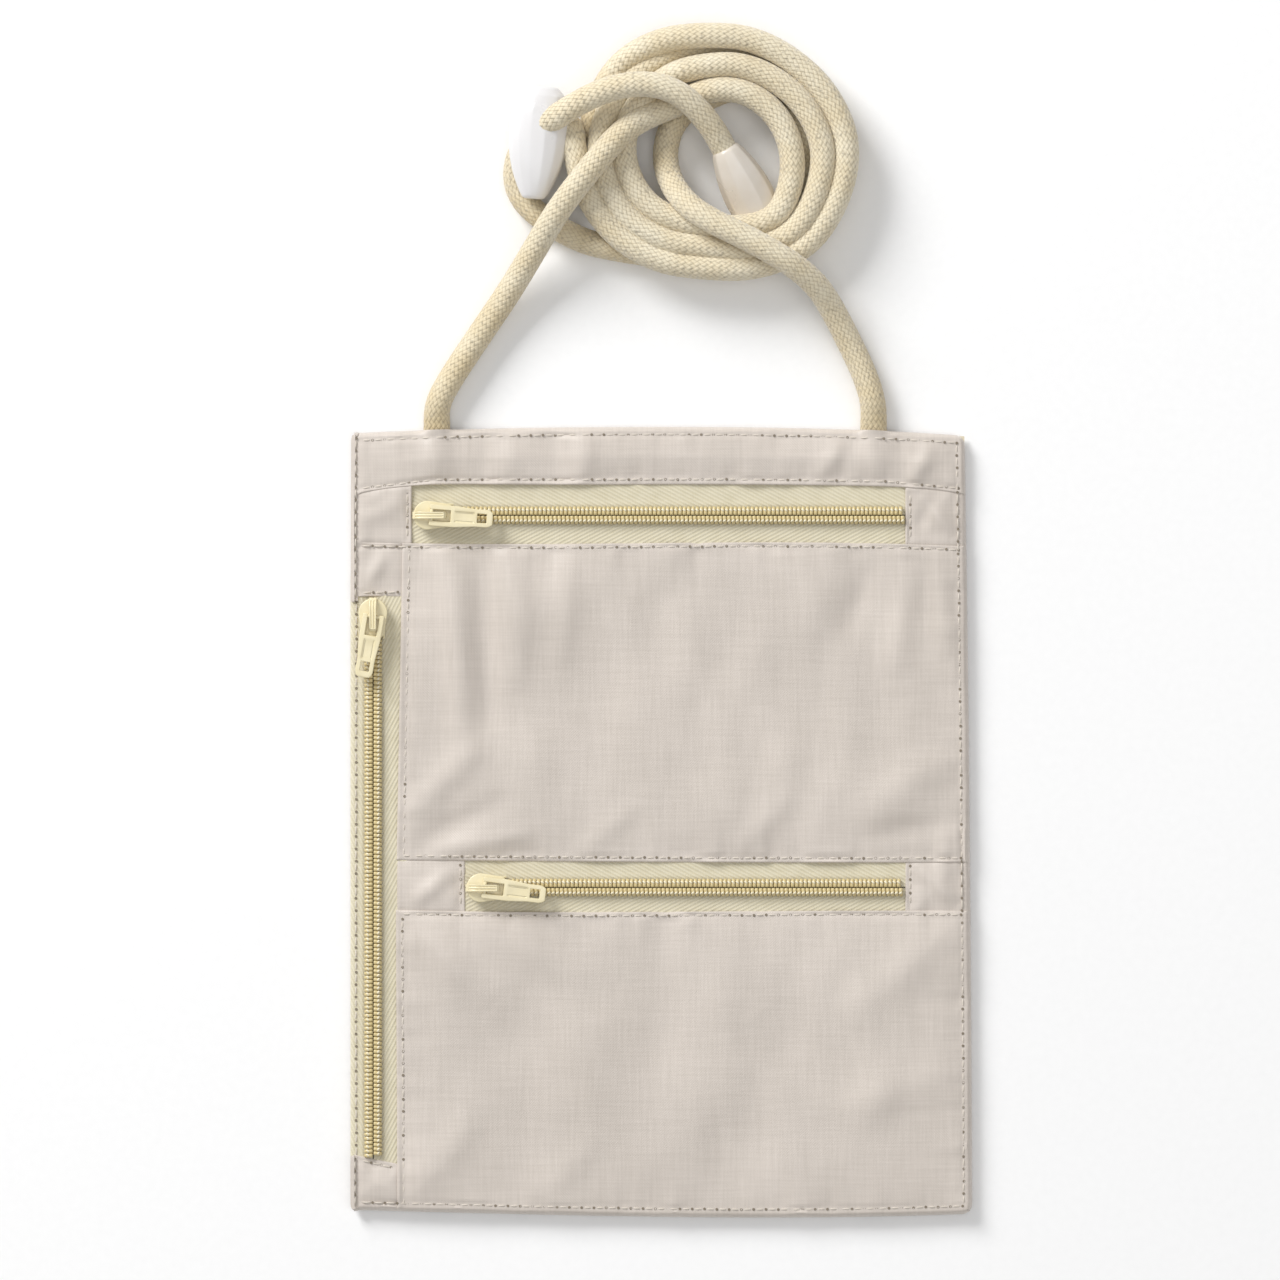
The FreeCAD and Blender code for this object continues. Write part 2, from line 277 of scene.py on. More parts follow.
@dataclass(frozen=True)
class CoilNylon:
    """Tan nylon monofilament of the zip's coil."""

    name: str = "coil_nylon"
    light: Colour = shade(224, 207, 158)
    dark: Colour = shade(198, 179, 127)

    def material(self) -> bpy.types.Material:
        """Builds the finish."""
        board = NodeBoard(self.name)
        patchy = board.cloud((1.4, 1.4, 1.4))
        fine = board.cloud((0.3, 0.3, 0.3))
        return board.finish(
            Base_Color=board.blend(patchy, self.dark, self.light), Roughness=fine * 0.15 + 0.3,
            Normal=board.relief(fine, 0.03, 0.4))


@dataclass(frozen=True)
class Enamel:
    """Baked cream paint on cast metal, a little uneven and dulled by handling."""

    name: str = "cream_enamel"
    light: Colour = shade(240, 230, 196)
    dark: Colour = shade(220, 206, 162)

    def material(self) -> bpy.types.Material:
        """Builds the finish."""
        board = NodeBoard(self.name)
        patchy = board.cloud((4.0, 4.0, 4.0))
        peel = board.cloud((0.55, 0.55, 0.55))
        return board.finish(
            Base_Color=board.blend(patchy, self.dark, self.light), Roughness=patchy * 0.12 + 0.24,
            Coat_Weight=0.25, Coat_Roughness=0.15, Normal=board.relief(peel, 0.02, 0.5))


@dataclass(frozen=True)
class BraidedCord:
    """Round braid: pale yarns that pass over and under each other on the slant, with a few grey ones, and
    painted shade: browner on the lower turns and darker between the yarns.
    """

    name: str = "braided_cord"
    light: Colour = shade(236, 228, 206)
    # Brown used both as random tone and as painted shade on the lower turns.
    warm: Colour = shade(206, 182, 131)
    # Painted shade in the hollows between the yarns.
    gap: Colour = shade(172, 150, 108)
    fleck: Colour = shade(152, 142, 124)
    yarns: int = 16

    def material(self) -> bpy.types.Material:
        """Builds the finish from the cord's own map: turns round it, and yarn crossings along it."""
        board = NodeBoard(self.name)
        around, along = board.surface()
        first = around * float(self.yarns) + along
        second = around * float(self.yarns) - along
        over = (first.floor() + second.floor()).maths("MODULO", 2.0).maths("ABSOLUTE")
        swell_a = 1 - abs(first.fraction() * 2.0 - 1.0).maths("POWER", 2.6)
        swell_b = 1 - abs(second.fraction() * 2.0 - 1.0).maths("POWER", 2.6)
        height = (swell_a * over + swell_b * (1 - over)).clamp()
        lay = over * first.fraction() + (1 - over) * second.fraction()
        fibres = (lay * (2 * math.pi * 4)).sine() * 0.5 + 0.5
        patchy = board.cloud((7.0, 7.0, 7.0))
        speck = board.cloud((0.9, 0.9, 0.9), 1.0)
        _, _, rise = board.axes()
        # Painted shade: the lower the cord lies, the more of the warm brown it gets, standing in for the
        # shade on the lower turns; the patchy cloud adds random tone.
        tone_and_height_shade = (patchy * 0.7 + (rise * (1 / (9 * MM))).clamp() * 0.5 - 0.15).clamp()
        yarn = board.blend(tone_and_height_shade, self.warm, self.light)
        flecked = board.blend(((speck - 0.58) * 5.0).clamp() * 0.6, yarn, self.fleck)
        # Painted shade: where the yarns sink, the colour turns to the dark gap brown, standing in for the
        # shade between them; the patchy cloud varies it.
        depth = (height + patchy * 0.4 + 0.1).clamp()
        colour = board.blend(depth, self.gap, flecked)
        return board.finish(
            Base_Color=colour, Roughness=fibres * 0.1 + 0.68, Sheen_Weight=0.4, Sheen_Roughness=0.5,
            Normal=board.relief(height * 0.72 + fibres * 0.14 + speck * 0.14, 0.24, 0.8))


@dataclass(frozen=True)
class MilkyPlastic:
    """Cloudy, see-through moulded plastic of the cord adjusters."""

    name: str = "milky_plastic"
    light: Colour = shade(239, 238, 239)
    dark: Colour = shade(229, 227, 226)
    see_through: float = 0.1

    def material(self) -> bpy.types.Material:
        """Builds the finish."""
        board = NodeBoard(self.name)
        cloudy = board.cloud((9.0, 9.0, 9.0), 3.0)
        fine = board.cloud((1.2, 1.2, 1.2))
        return board.finish(
            Base_Color=board.blend(cloudy, self.dark, self.light), Roughness=cloudy * 0.15 + 0.22,
            Transmission_Weight=self.see_through, IOR=1.45, Coat_Weight=0.3, Coat_Roughness=0.12,
            Normal=board.relief(fine, 0.02, 0.4))


@dataclass(frozen=True)
class SewingThread:
    """Twisted thread of the seams and of the rows that hold the zip's coil."""

    name: str = "sewing_thread"
    light: Colour = shade(226, 218, 207)
    dark: Colour = shade(200, 190, 176)

    def material(self) -> bpy.types.Material:
        """Builds the finish."""
        board = NodeBoard(self.name)
        x, y, _ = board.axes()
        twist = ((x + y) * (2 * math.pi / (0.35 * MM))).sine() * 0.5 + 0.5
        patchy = board.cloud((2.2, 2.2, 2.2))
        return board.finish(
            Base_Color=board.blend((twist * 0.4 + patchy * 0.6).clamp(), self.dark, self.light),
            Roughness=patchy * 0.1 + 0.55, Sheen_Weight=0.2, Normal=board.relief(twist, 0.05, 0.6))


@dataclass(frozen=True)
class StudioFloor:
    """Matt white paper that everything lies on."""

    name: str = "studio_paper"
    light: Colour = shade(250, 250, 250)
    dark: Colour = shade(246, 246, 246)

    def material(self) -> bpy.types.Material:
        """Builds the finish."""
        board = NodeBoard(self.name)
        grain = board.cloud((2.0, 2.0, 2.0))
        return board.finish(Base_Color=board.blend(grain, self.dark, self.light), Roughness=0.9)


class Palette:
    """Every finish, made once."""

    def __init__(self) -> None:
        """Builds the finishes."""
        self.cloth = WovenCloth().material()
        self.lining = WovenCloth(
            "lining_cloth", shade(232, 222, 200), shade(212, 200, 172), 0.5, 0.7).material()
        self.tape = TwillTape().material()
        self.coil = CoilNylon().material()
        self.enamel = Enamel().material()
        self.cord = BraidedCord().material()
        self.plastic = MilkyPlastic().material()
        self.warm_plastic = MilkyPlastic(
            "warm_milky_plastic", shade(248, 243, 236), shade(222, 208, 188), 0.2).material()
        self.thread = SewingThread().material()
        self.zip_thread = SewingThread("zip_thread", shade(250, 244, 224), shade(228, 216, 180)).material()
        # Dark brown of the needle holes: painted shade in the pierced cloth.
        self.hole = SewingThread("needle_hole_shade", shade(150, 138, 120), shade(124, 112, 96)).material()
        self.floor = StudioFloor().material()


# ---------------------------------------------------------------- workbench
class Shaping:
    """A mesh in edit mode: vertices or faces are picked in code, then worked on with operators."""

    def __init__(self, piece: bpy.types.Object) -> None:
        """Keeps the piece that will be shaped."""
        self.piece = piece

    def __enter__(self) -> "Shaping":
        """Opens edit mode with nothing selected."""
        only(self.piece)
        bpy.ops.object.mode_set(mode="EDIT")
        bpy.ops.mesh.select_mode(type="VERT")
        bpy.ops.mesh.select_all(action="DESELECT")
        return self

    def __exit__(self, *trouble: object) -> None:
        """Closes edit mode."""
        bpy.ops.object.mode_set(mode="OBJECT")

    def all(self) -> "Shaping":
        """Picks everything."""
        bpy.ops.mesh.select_all(action="SELECT")
        return self

    def pick(self, kind: str, elements: str, test: Callable[..., bool]) -> "Shaping":
        """Picks the vertices, edges or faces that pass a test.

        Args:
            kind: the operator's name for them.
            elements: the mesh's name for them.
            test: says whether one of them is picked.

        Returns:
            This object, so that calls can be chained.
        """
        bpy.ops.mesh.select_mode(type=kind)
        mesh = bmesh.from_edit_mesh(self.piece.data)
        for element in getattr(mesh, elements):
            element.select_set(test(element))
        if kind == "VERT":
            mesh.select_flush_mode()
        bmesh.update_edit_mesh(self.piece.data)
        return self

    def points(self, test: Callable[[Vector], bool]) -> "Shaping":
        """Picks the vertices whose place, in millimetres, passes a test."""
        return self.pick("VERT", "verts", lambda vertex: test(vertex.co / MM))

    def edges(self, test: Callable[[Vector, Vector], bool]) -> "Shaping":
        """Picks the edges whose two ends, in millimetres, pass a test."""
        return self.pick("EDGE", "edges", lambda edge: test(edge.verts[0].co / MM, edge.verts[1].co / MM))

    def faces(self, test: Callable[[Vector, Vector], bool]) -> "Shaping":
        """Picks the faces whose middle, in millimetres, and normal pass a test."""
        return self.pick("FACE", "faces", lambda face: test(face.calc_center_median() / MM, face.normal))

    def move(self, x: float = 0.0, y: float = 0.0, z: float = 0.0) -> "Shaping":
        """Moves what is picked, in millimetres."""
        bpy.ops.transform.translate(value=(x * MM, y * MM, z * MM))
        return self

    def scale(self, x: float, y: float, z: float, about: Point = (0.0, 0.0, 0.0)) -> "Shaping":
        """Scales what is picked about a point in millimetres."""
        centre = tuple(value * MM for value in about)
        bpy.ops.transform.resize(value=(x, y, z), center_override=centre)
        return self

    def extrude(self, x: float = 0.0, y: float = 0.0, z: float = 0.0) -> "Shaping":
        """Draws out what is picked, in millimetres."""
        bpy.ops.mesh.extrude_region_move(TRANSFORM_OT_translate={"value": (x * MM, y * MM, z * MM)})
        return self

    def inset(self, thickness: float, depth: float) -> "Shaping":
        """Insets the picked faces, in millimetres; a negative depth sinks them."""
        bpy.ops.mesh.inset(thickness=thickness * MM, depth=depth * MM)
        return self

    def subdivide(self, cuts: int) -> "Shaping":
        """Cuts the picked edges evenly."""
        bpy.ops.mesh.subdivide(number_cuts=cuts)
        return self


def clear() -> None:
    """Deselects everything, before a new primitive."""
    for other in bpy.context.selected_objects:
        other.select_set(False)
    bpy.context.view_layer.objects.active = None


def only(piece: bpy.types.Object) -> None:
    """Selects one piece and nothing else."""
    clear()
    piece.select_set(True)
    bpy.context.view_layer.objects.active = piece


def take(name: str) -> bpy.types.Object:
    """Names the primitive just added and puts its place into its mesh."""
    piece = bpy.context.active_object
    piece.name = name
    piece.data.name = name
    bpy.ops.object.transform_apply(location=True, rotation=True, scale=True)
    return piece


def block(name: str, low: Point, high: Point) -> bpy.types.Object:
    """A block between two corners, in millimetres, as a start."""
    clear()
    centre = [(a + b) / 2 * MM for a, b in zip(low, high)]
    bpy.ops.mesh.primitive_cube_add(size=1, location=centre)
    bpy.context.active_object.scale = [(b - a) * MM for a, b in zip(low, high)]
    return take(name)


def lattice(name: str, along: int, across: int) -> bpy.types.Object:
    """A flat grid of 1 mm cells from the origin, as a start."""
    clear()
    bpy.ops.mesh.primitive_grid_add(
        x_subdivisions=along, y_subdivisions=across, size=1, location=(along / 2 * MM, across / 2 * MM, 0))
    bpy.context.active_object.scale = (along * MM, across * MM, 1)
    return take(name)


def rod(name: str, start: Point, end: Point, radius: float, sides: int) -> bpy.types.Object:
    """A straight rod between two points, in millimetres, as a start."""
    clear()
    a, b = Vector(start) * MM, Vector(end) * MM
    bpy.ops.mesh.primitive_cylinder_add(
        vertices=sides, radius=radius * MM, depth=(b - a).length, location=(a + b) / 2,
        rotation=(b - a).to_track_quat("Z", "X").to_euler())
    return take(name)


def modify(piece: bpy.types.Object, kind: str, **settings: object) -> bpy.types.Object:
    """Adds a modifier and applies it."""
    only(piece)
    modifier = piece.modifiers.new(kind.lower(), kind)
    for key, value in settings.items():
        setattr(modifier, key, value)
    bpy.ops.object.modifier_apply(modifier=modifier.name)
    return piece


def bevel(piece: bpy.types.Object, width: float, segments: int, sharp: float = 50) -> bpy.types.Object:
    """Rounds the edges sharper than an angle, with the width in millimetres."""
    return modify(piece, "BEVEL", width=width * MM, segments=segments, limit_method="ANGLE",
                  angle_limit=math.radians(sharp))


def read_points(piece: bpy.types.Object) -> Array:
    """The vertices' places, in millimetres."""
    points = np.empty(len(piece.data.vertices) * 3)
    piece.data.vertices.foreach_get("co", points)
    return points.reshape(-1, 3) / MM


def write_points(piece: bpy.types.Object, *axes: Array) -> None:
    """Moves the vertices to new places, in millimetres."""
    piece.data.vertices.foreach_set("co", (np.column_stack(axes) * MM).ravel())
    piece.data.update()


def smooth(piece: bpy.types.Object, angle: float = 40.0) -> bpy.types.Object:
    """Smooths the shading over edges flatter than an angle."""
    only(piece)
    bpy.ops.object.shade_smooth_by_angle(angle=math.radians(angle))
    return piece


def outward(piece: bpy.types.Object) -> bpy.types.Object:
    """Merges doubles and points every face outwards."""
    with Shaping(piece) as work:
        work.all()
        bpy.ops.mesh.remove_doubles(threshold=0.005 * MM)
        bpy.ops.mesh.normals_make_consistent(inside=False)
    return piece


def join(name: str, pieces: Sequence[bpy.types.Object]) -> bpy.types.Object:
    """Joins several pieces into one."""
    only(pieces[0])
    for piece in pieces[1:]:
        piece.select_set(True)
    bpy.ops.object.join()
    pieces[0].name = name
    pieces[0].data.name = name
    return pieces[0]


def settle(piece: bpy.types.Object, matrix: Matrix) -> bpy.types.Object:
    """Moves a piece's mesh to its place and leaves its object at the origin."""
    piece.data.transform(matrix)
    piece.data.update()
    return piece


def repeat(name: str, model: bpy.types.Object, places: Sequence[Matrix]) -> bpy.types.Object:
    """Joins copies of a modelled piece, one at each place, and removes the model.

    Args:
        name: the new piece's name.
        model: the piece that is copied.
        places: where each copy goes.

    Returns:
        The new piece.
    """
    source = model.data
    count = len(source.vertices)
    corners = np.empty(count * 3)
    source.vertices.foreach_get("co", corners)
    corners = np.column_stack([corners.reshape(-1, 3), np.ones(count)])
    faces = [tuple(face.vertices) for face in source.polygons]
    vertices: list[Array] = []
    polygons: list[tuple[int, ...]] = []
    for index, matrix in enumerate(places):
        vertices.append((corners @ np.array(matrix).T)[:, :3])
        polygons.extend(tuple(v + index * count for v in face) for face in faces)
    mesh = bpy.data.meshes.new(name)
    mesh.from_pydata(np.concatenate(vertices).tolist(), [], polygons)
    mesh.polygons.foreach_set("use_smooth", [True] * len(polygons))
    mesh.update()
    piece = bpy.data.objects.new(name, mesh)
    bpy.context.scene.collection.objects.link(piece)
    bpy.data.objects.remove(model)
    return piece


def dress(piece: bpy.types.Object, finish: bpy.types.Material, body: str = ROOT,
          stands_for: Iterable[str] = ()) -> bpy.types.Object:
    """Gives a finished piece its material, slot and body, and hides the CAD pieces it stands for."""
    piece.data.materials.clear()
    piece.data.materials.append(finish)
    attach(piece, body)
    names = list(stands_for)
    if names:
        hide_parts(*names)
    LOG.info("%s: %d faces on %s", piece.name, len(piece.data.polygons), body)
    return piece


# ---------------------------------------------------------------- cloth
NOISE_CELLS = 64
FAR = 1e9
LIFT_WIDTH = 3.6
FOLD_HEIGHT = 2.15
MOST_BENDS = 6


def ease(share: Array) -> Array:
    """Smooth step from 0 to 1."""
    return share * share * (3 - 2 * share)


def over_cord(x: Array, place: float) -> Array:
    """Share of lift, from 0 to 1, that a cord under the cloth gives it."""
    return np.exp(-((x - place) / LIFT_WIDTH) ** 4)


class SoftNoise:
    """Seeded smooth noise from -1 to 1 on a line or a plane."""

    def __init__(self, seed: int) -> None:
        """Fills the table from a seed."""
        self.table = np.random.default_rng(seed).uniform(-1, 1, (NOISE_CELLS, NOISE_CELLS))

    def plane(self, x: Array, y: Array) -> Array:
        """Noise at points of a plane, one blot per unit."""
        column, row = np.floor(x).astype(int), np.floor(y).astype(int)
        fx, fy = ease(x - column), ease(y - row)
        def corner(dx: int, dy: int) -> Array:
            """Table value at one corner of the cell."""
            return self.table[(row + dy) % NOISE_CELLS, (column + dx) % NOISE_CELLS]
        low = corner(0, 0) * (1 - fx) + corner(1, 0) * fx
        high = corner(0, 1) * (1 - fx) + corner(1, 1) * fx
        return low * (1 - fy) + high * fy

    def line(self, t: Array) -> Array:
        """Noise along a line, one blot per unit."""
        return self.plane(t, np.zeros_like(t))


def nearest(points: Sequence[Flat], x: Array, y: Array) -> tuple[Array, Array]:
    """Distance from a broken line and length along it.

    Args:
        points: the line's corners.
        x: places across.
        y: places along.

    Returns:
        The distance and the length along, for each place.
    """
    best = np.full_like(x, FAR)
    along = np.zeros_like(x)
    start = 0.0
    for (ax, ay), (bx, by) in zip(points, points[1:]):
        length = math.hypot(bx - ax, by - ay)
        ux, uy = (bx - ax) / length, (by - ay) / length
        share = np.clip((x - ax) * ux + (y - ay) * uy, 0, length)
        gap = np.hypot(x - ax - share * ux, y - ay - share * uy)
        closer = gap < best
        best = np.where(closer, gap, best)
        along = np.where(closer, start + share, along)
        start += length
    return best, along


@dataclass(frozen=True)
class Seam:
    """A line of stitching on the front or back."""

    name: str
    line: tuple[Flat, ...]
    pucker: float = 0.2
    sunk: float = 0.0


@dataclass(frozen=True)
class Crease:
    """One soft fold of the cloth, between two points."""

    start: Flat
    end: Flat
    width: float
    rise: float


@dataclass
class Relief:
    """How the sewn cloth rises and falls: crown between seams, puckers, draws and soft folds."""

    seams: Sequence[Seam]
    creases: Sequence[Crease]
    margin: Callable[[Array, Array], Array]
    crown: float = 0.85
    wave: float = 1.2
    depth: float = 1.9
    seed: int = 7
    pucker_reach: float = 4.6
    crown_reach: float = 9
    stitch_dip: float = 0.12
    stitch_width: float = 0.7

    def height(self, x: Array, y: Array) -> Array:
        """Height above the seams' level.

        Args:
            x: places across, in millimetres.
            y: places along, in millimetres.

        Returns:
            The heights, in millimetres.
        """
        noise = SoftNoise(self.seed)
        clear_of = np.full_like(x, FAR)
        total = np.zeros_like(x)
        for index, seam in enumerate(self.seams):
            gap, along = nearest(seam.line, x, y)
            clear_of = np.minimum(clear_of, gap)
            local = SoftNoise(40 + index)
            ripple = local.line(along / 2.9) * 0.6 + local.line(along / 6.3 + 9) * 0.8
            total += (self.depth * seam.pucker * ripple * np.exp(-gap / self.pucker_reach)
                      * np.clip(gap / 0.8, 0.25, 1))
            total -= self.stitch_dip * np.exp(-(gap / self.stitch_width) ** 2)
        open_cloth = 1 - np.exp(-clear_of / self.crown_reach)
        total += self.crown * open_cloth
        broad = noise.plane(x / 17 + 5, y / 29 + 3) + 0.45 * noise.plane(x / 7.5, y / 13)
        total += self.wave * open_cloth * broad
        for crease in self.creases:
            total += self.fold(crease, x, y)
        return total * self.margin(x, y)

    @staticmethod
    def fold(crease: Crease, x: Array, y: Array) -> Array:
        """Height of one soft fold, which fades towards its ends."""
        length = math.dist(crease.start, crease.end)
        gap, along = nearest((crease.start, crease.end), x, y)
        fade = np.sin(np.pi * np.clip(along / length, 0.02, 0.98)) ** 0.6
        return FOLD_HEIGHT * crease.rise * fade * np.exp(-(gap / crease.width) ** 2)


class Side(Enum):
    """How one side of a cloth panel ends."""

    FOLD = "turned under, with a small round"
    RIM = "turned down to meet the other face of the pouch"
    TUCK = "slipped under the neighbouring panel"


Edge = Callable[[Array], Array]


def bow(*pairs: Flat) -> Edge:
    """A side as a smooth line through a few pairs of place and position."""
    places = [pair[0] for pair in pairs]
    values = [pair[1] for pair in pairs]
    if len(pairs) < 3:
        return lambda t: np.interp(t, places, values)
    fit = np.polyfit(places, values, min(len(pairs) - 1, MOST_BENDS))
    return lambda t: np.polyval(fit, np.clip(t, places[0], places[-1]))


@dataclass
class ClothPanel:
    """One piece of sewn cloth.

    left and right give x for a y; bottom and top give y for an x. All sizes are in millimetres.
    """

    name: str
    left: Edge
    right: Edge
    bottom: Edge
    top: Edge
    sides: tuple[Side, Side, Side, Side]
    relief: Relief
    level: float
    stands_for: tuple[str, ...] = ()
    pitch: float = 0.9
    thickness: float = 0.45
    rim_drop: float = 2.25
    rim_round: float = 1.5
    corner: float = 2.4
    lifts: tuple[float, ...] = ()
    facing: int = 1
    is_hem: bool = False
    fold_round: float = 0.6
    fold_drop: float = 0.42
    tuck_slope: float = 2.0
    tuck_drop: float = 0.4

    def stations(self, length: float) -> Array:
        """Places of the mesh lines over a length, closer together near both ends."""
        close = [0.0, 0.12, 0.3, 0.55, 0.9, 1.35]
        inner = max(2, round((length - 2 * close[-1]) / self.pitch))
        middle = np.linspace(close[-1], length - close[-1], inner + 1)[1:-1]
        return np.concatenate([close, middle, [length - value for value in reversed(close)]])

    def spans(self) -> Flat:
        """Width and height through the middle."""
        centre = np.zeros(1)
        return (float((self.right(centre) - self.left(centre))[0]),
                float((self.top(centre) - self.bottom(centre))[0]))

    def build(self) -> bpy.types.Object:
        """Lays the cloth out, raises and drops it, and gives it its thickness."""
        x_span, y_span = self.spans()
        along, up = self.stations(x_span), self.stations(y_span)
        columns, rows = len(along) - 1, len(up) - 1
        piece = lattice(self.name, columns, rows)
        flat = read_points(piece)
        s = along[np.rint(flat[:, 0]).astype(int)] / x_span
        t = up[np.rint(flat[:, 1]).astype(int)] / y_span
        base = self.bottom(np.zeros(1))[0] + t * y_span
        x = self.left(base) * (1 - s) + self.right(base) * s
        y = self.bottom(x) * (1 - t) + self.top(x) * t
        gaps = [s * x_span, (1 - s) * x_span, t * y_span, (1 - t) * y_span]
        x, y = self.round_corners(x, y, gaps)
        z = self.level + self.facing * self.relief.height(x, y)
        z = z - self.facing * self.drop(x, gaps)
        write_points(piece, x, y, z)
        modify(piece, "SOLIDIFY", thickness=self.thickness * MM, offset=-float(self.facing))
        return smooth(piece, 50)

    def round_corners(self, x: Array, y: Array, gaps: Sequence[Array]) -> tuple[Array, Array]:
        """Rounds each corner between two rims."""
        for across, xs in ((0, 1), (1, -1)):
            for upward, ys in ((2, 1), (3, -1)):
                if self.sides[across] != Side.RIM or self.sides[upward] != Side.RIM:
                    continue
                a = np.clip(1 - gaps[across] / self.corner, 0, 1)
                b = np.clip(1 - gaps[upward] / self.corner, 0, 1)
                x = x + xs * self.corner * (a - a * np.sqrt(1 - b * b / 2))
                y = y + ys * self.corner * (b - b * np.sqrt(1 - a * a / 2))
        return x, y

    def drop(self, x: Array, gaps: Sequence[Array]) -> Array:
        """How far each side bends away from the panel's face."""
        total = np.zeros_like(x)
        for side, gap in zip(self.sides, gaps):
            if side == Side.FOLD:
                share = np.clip(1 - gap / self.fold_round, 0, 1)
                total = np.maximum(total, self.fold_drop * (1 - np.sqrt(1 - share ** 2)))
            elif side == Side.RIM:
                share = np.clip(1 - gap / self.rim_round, 0, 1)
                fall = self.rim_drop * (1 - np.sqrt(1 - share ** 2))
                for place in self.lifts:
                    fall = fall * (1 - over_cord(x, place))
                total = np.maximum(total, fall)
            else:
                share = np.clip(1 - gap / self.tuck_slope, 0, 1)
                total = np.maximum(total, self.tuck_drop * share)
        return total

    def finish(self, palette: Palette) -> bpy.types.Object:
        """Builds the panel and dresses it."""
        piece = dress(self.build(), palette.cloth, stands_for=self.stands_for)
        if self.is_hem:
            return piece
        width, length = self.spans()
        return piece


# ---------------------------------------------------------------- the pouch
LEFT_CORD_X, RIGHT_CORD_X = -54.0, 51.2
FLAT_MARGIN = 1.8
TAPE_TOP = 2.9

FRONT_TOP_EDGE = bow((-75, 93.8), (-40, 95.0), (0, 95.4), (40, 94.9), (75, 93.1))
FRONT_BOTTOM_EDGE = bow((-75, -93.4), (-20, -94.7), (20, -95.2), (75, -94.3))
RIGHT_EDGE = bow((-95, 75.0), (0, 74.4), (95, 73.2))
BACK_LEFT_EDGE = bow((-95, -74.8), (0, -74.9), (95, -74.6))
BINDING_EDGE = bow((-95, -73.1), (95, -73.0))
BAND_FOLD = bow((-75, 78.4), (-69.3, 80.1), (-58, 81.1), (-30, 81.4), (0, 81.4), (30, 81.3),
                (58, 80.8), (68, 79.8), (75, 78.6))
MIDDLE_TOP = bow((-75, 67.7), (0, 67.4), (60, 67.1), (75, 66.5))
MIDDLE_LEFT = bow((-10, -63.7), (68, -62.3))
MIDDLE_BOTTOM = bow((-75, -8.9), (0, -9.5), (75, -9.6))
LOWER_TOP = bow((-75, -20.7), (-47, -21.3), (0, -21.4), (75, -21.2))
LOWER_LEFT = bow((-95, -63.5), (-20, -63.9))


def outline_margin(x: Array, y: Array) -> Array:
    """Share of the relief left beside the pouch's outline, where front and back are sewn flat together."""
    gap = np.minimum(np.minimum(RIGHT_EDGE(y) - x, x - BACK_LEFT_EDGE(y)),
                     np.minimum(FRONT_TOP_EDGE(x) - y, y - FRONT_BOTTOM_EDGE(x)))
    share = ease(np.clip(gap / FLAT_MARGIN, 0, 1))
    for place in (LEFT_CORD_X, RIGHT_CORD_X):
        share = np.maximum(share, np.where(y > 0, over_cord(x, place), 0))
    return share


def level(value: float) -> Edge:
    """A straight side."""
    return lambda t: np.full_like(t, value)


def shifted(edge: Edge, by: float) -> Edge:
    """A side beside another one."""
    return lambda t: edge(t) + by


def traced(edge: Edge, start: float, end: float, upright: bool = False) -> tuple[Flat, ...]:
    """Points along a side between two places."""
    places = np.linspace(start, end, 9)
    values = edge(places)
    return tuple((float(v), float(p)) if upright else (float(p), float(v)) for p, v in zip(places, values))


def edge_seam(name: str, edge: Edge, inset: float, start: float, end: float, pucker: float,
              upright: bool = False) -> Seam:
    """A seam beside a side, between two places along it."""
    return Seam(name + "_stitches", traced(shifted(edge, inset), start, end, upright), pucker)


def tab_seam(name: str, start: Flat, end: Flat) -> Seam:
    """The short seam across a tab, sunk into its cloth."""
    return Seam(name + "_tab_stitches", (start, end), 0.2, 0.28)


FRONT_SEAMS = (
    edge_seam("upper_binding", BACK_LEFT_EDGE, 1.15, 54.0, 92.6, 0.1, True),
    edge_seam("lower_binding", BACK_LEFT_EDGE, 1.15, -92.4, -81.0, 0.1, True),
    edge_seam("right_edge", RIGHT_EDGE, -2.1, -92.2, 91.4, 0.24, True),
    edge_seam("top_edge", FRONT_TOP_EDGE, -1.9, -72.4, 71.2, 0.22),
    edge_seam("bottom_edge", FRONT_BOTTOM_EDGE, 2.1, -72.4, 72.6, 0.2),
    edge_seam("band", BAND_FOLD, 1.25, -72.4, 71.6, 0.26),
    edge_seam("middle_top", MIDDLE_TOP, -0.95, -72.4, 71.6, 0.3),
    edge_seam("middle_left", MIDDLE_LEFT, 1.7, -8.4, 65.4, 0.16, True),
    edge_seam("middle_bottom", MIDDLE_BOTTOM, 1.1, -62.6, 72.2, 0.3),
    edge_seam("lower_top", LOWER_TOP, -0.95, -62.6, 72.2, 0.26),
    edge_seam("lower_left", LOWER_LEFT, 1.6, -92.6, -23.2, 0.16, True),
    tab_seam("top_left", (-61.1, 68.4), (-61.1, 79.6)),
    tab_seam("top_right", (60.0, 68.2), (60.0, 79.4)),
    tab_seam("lower_left", (-48.3, -20.4), (-48.3, -10.2)),
    tab_seam("lower_right", (60.0, -20.2), (60.0, -10.4)),
    tab_seam("side_top", (-72.2, 55.4), (-63.4, 55.5)),
    tab_seam("side_bottom", (-72.2, -81.3), (-65.0, -83.0)),
)

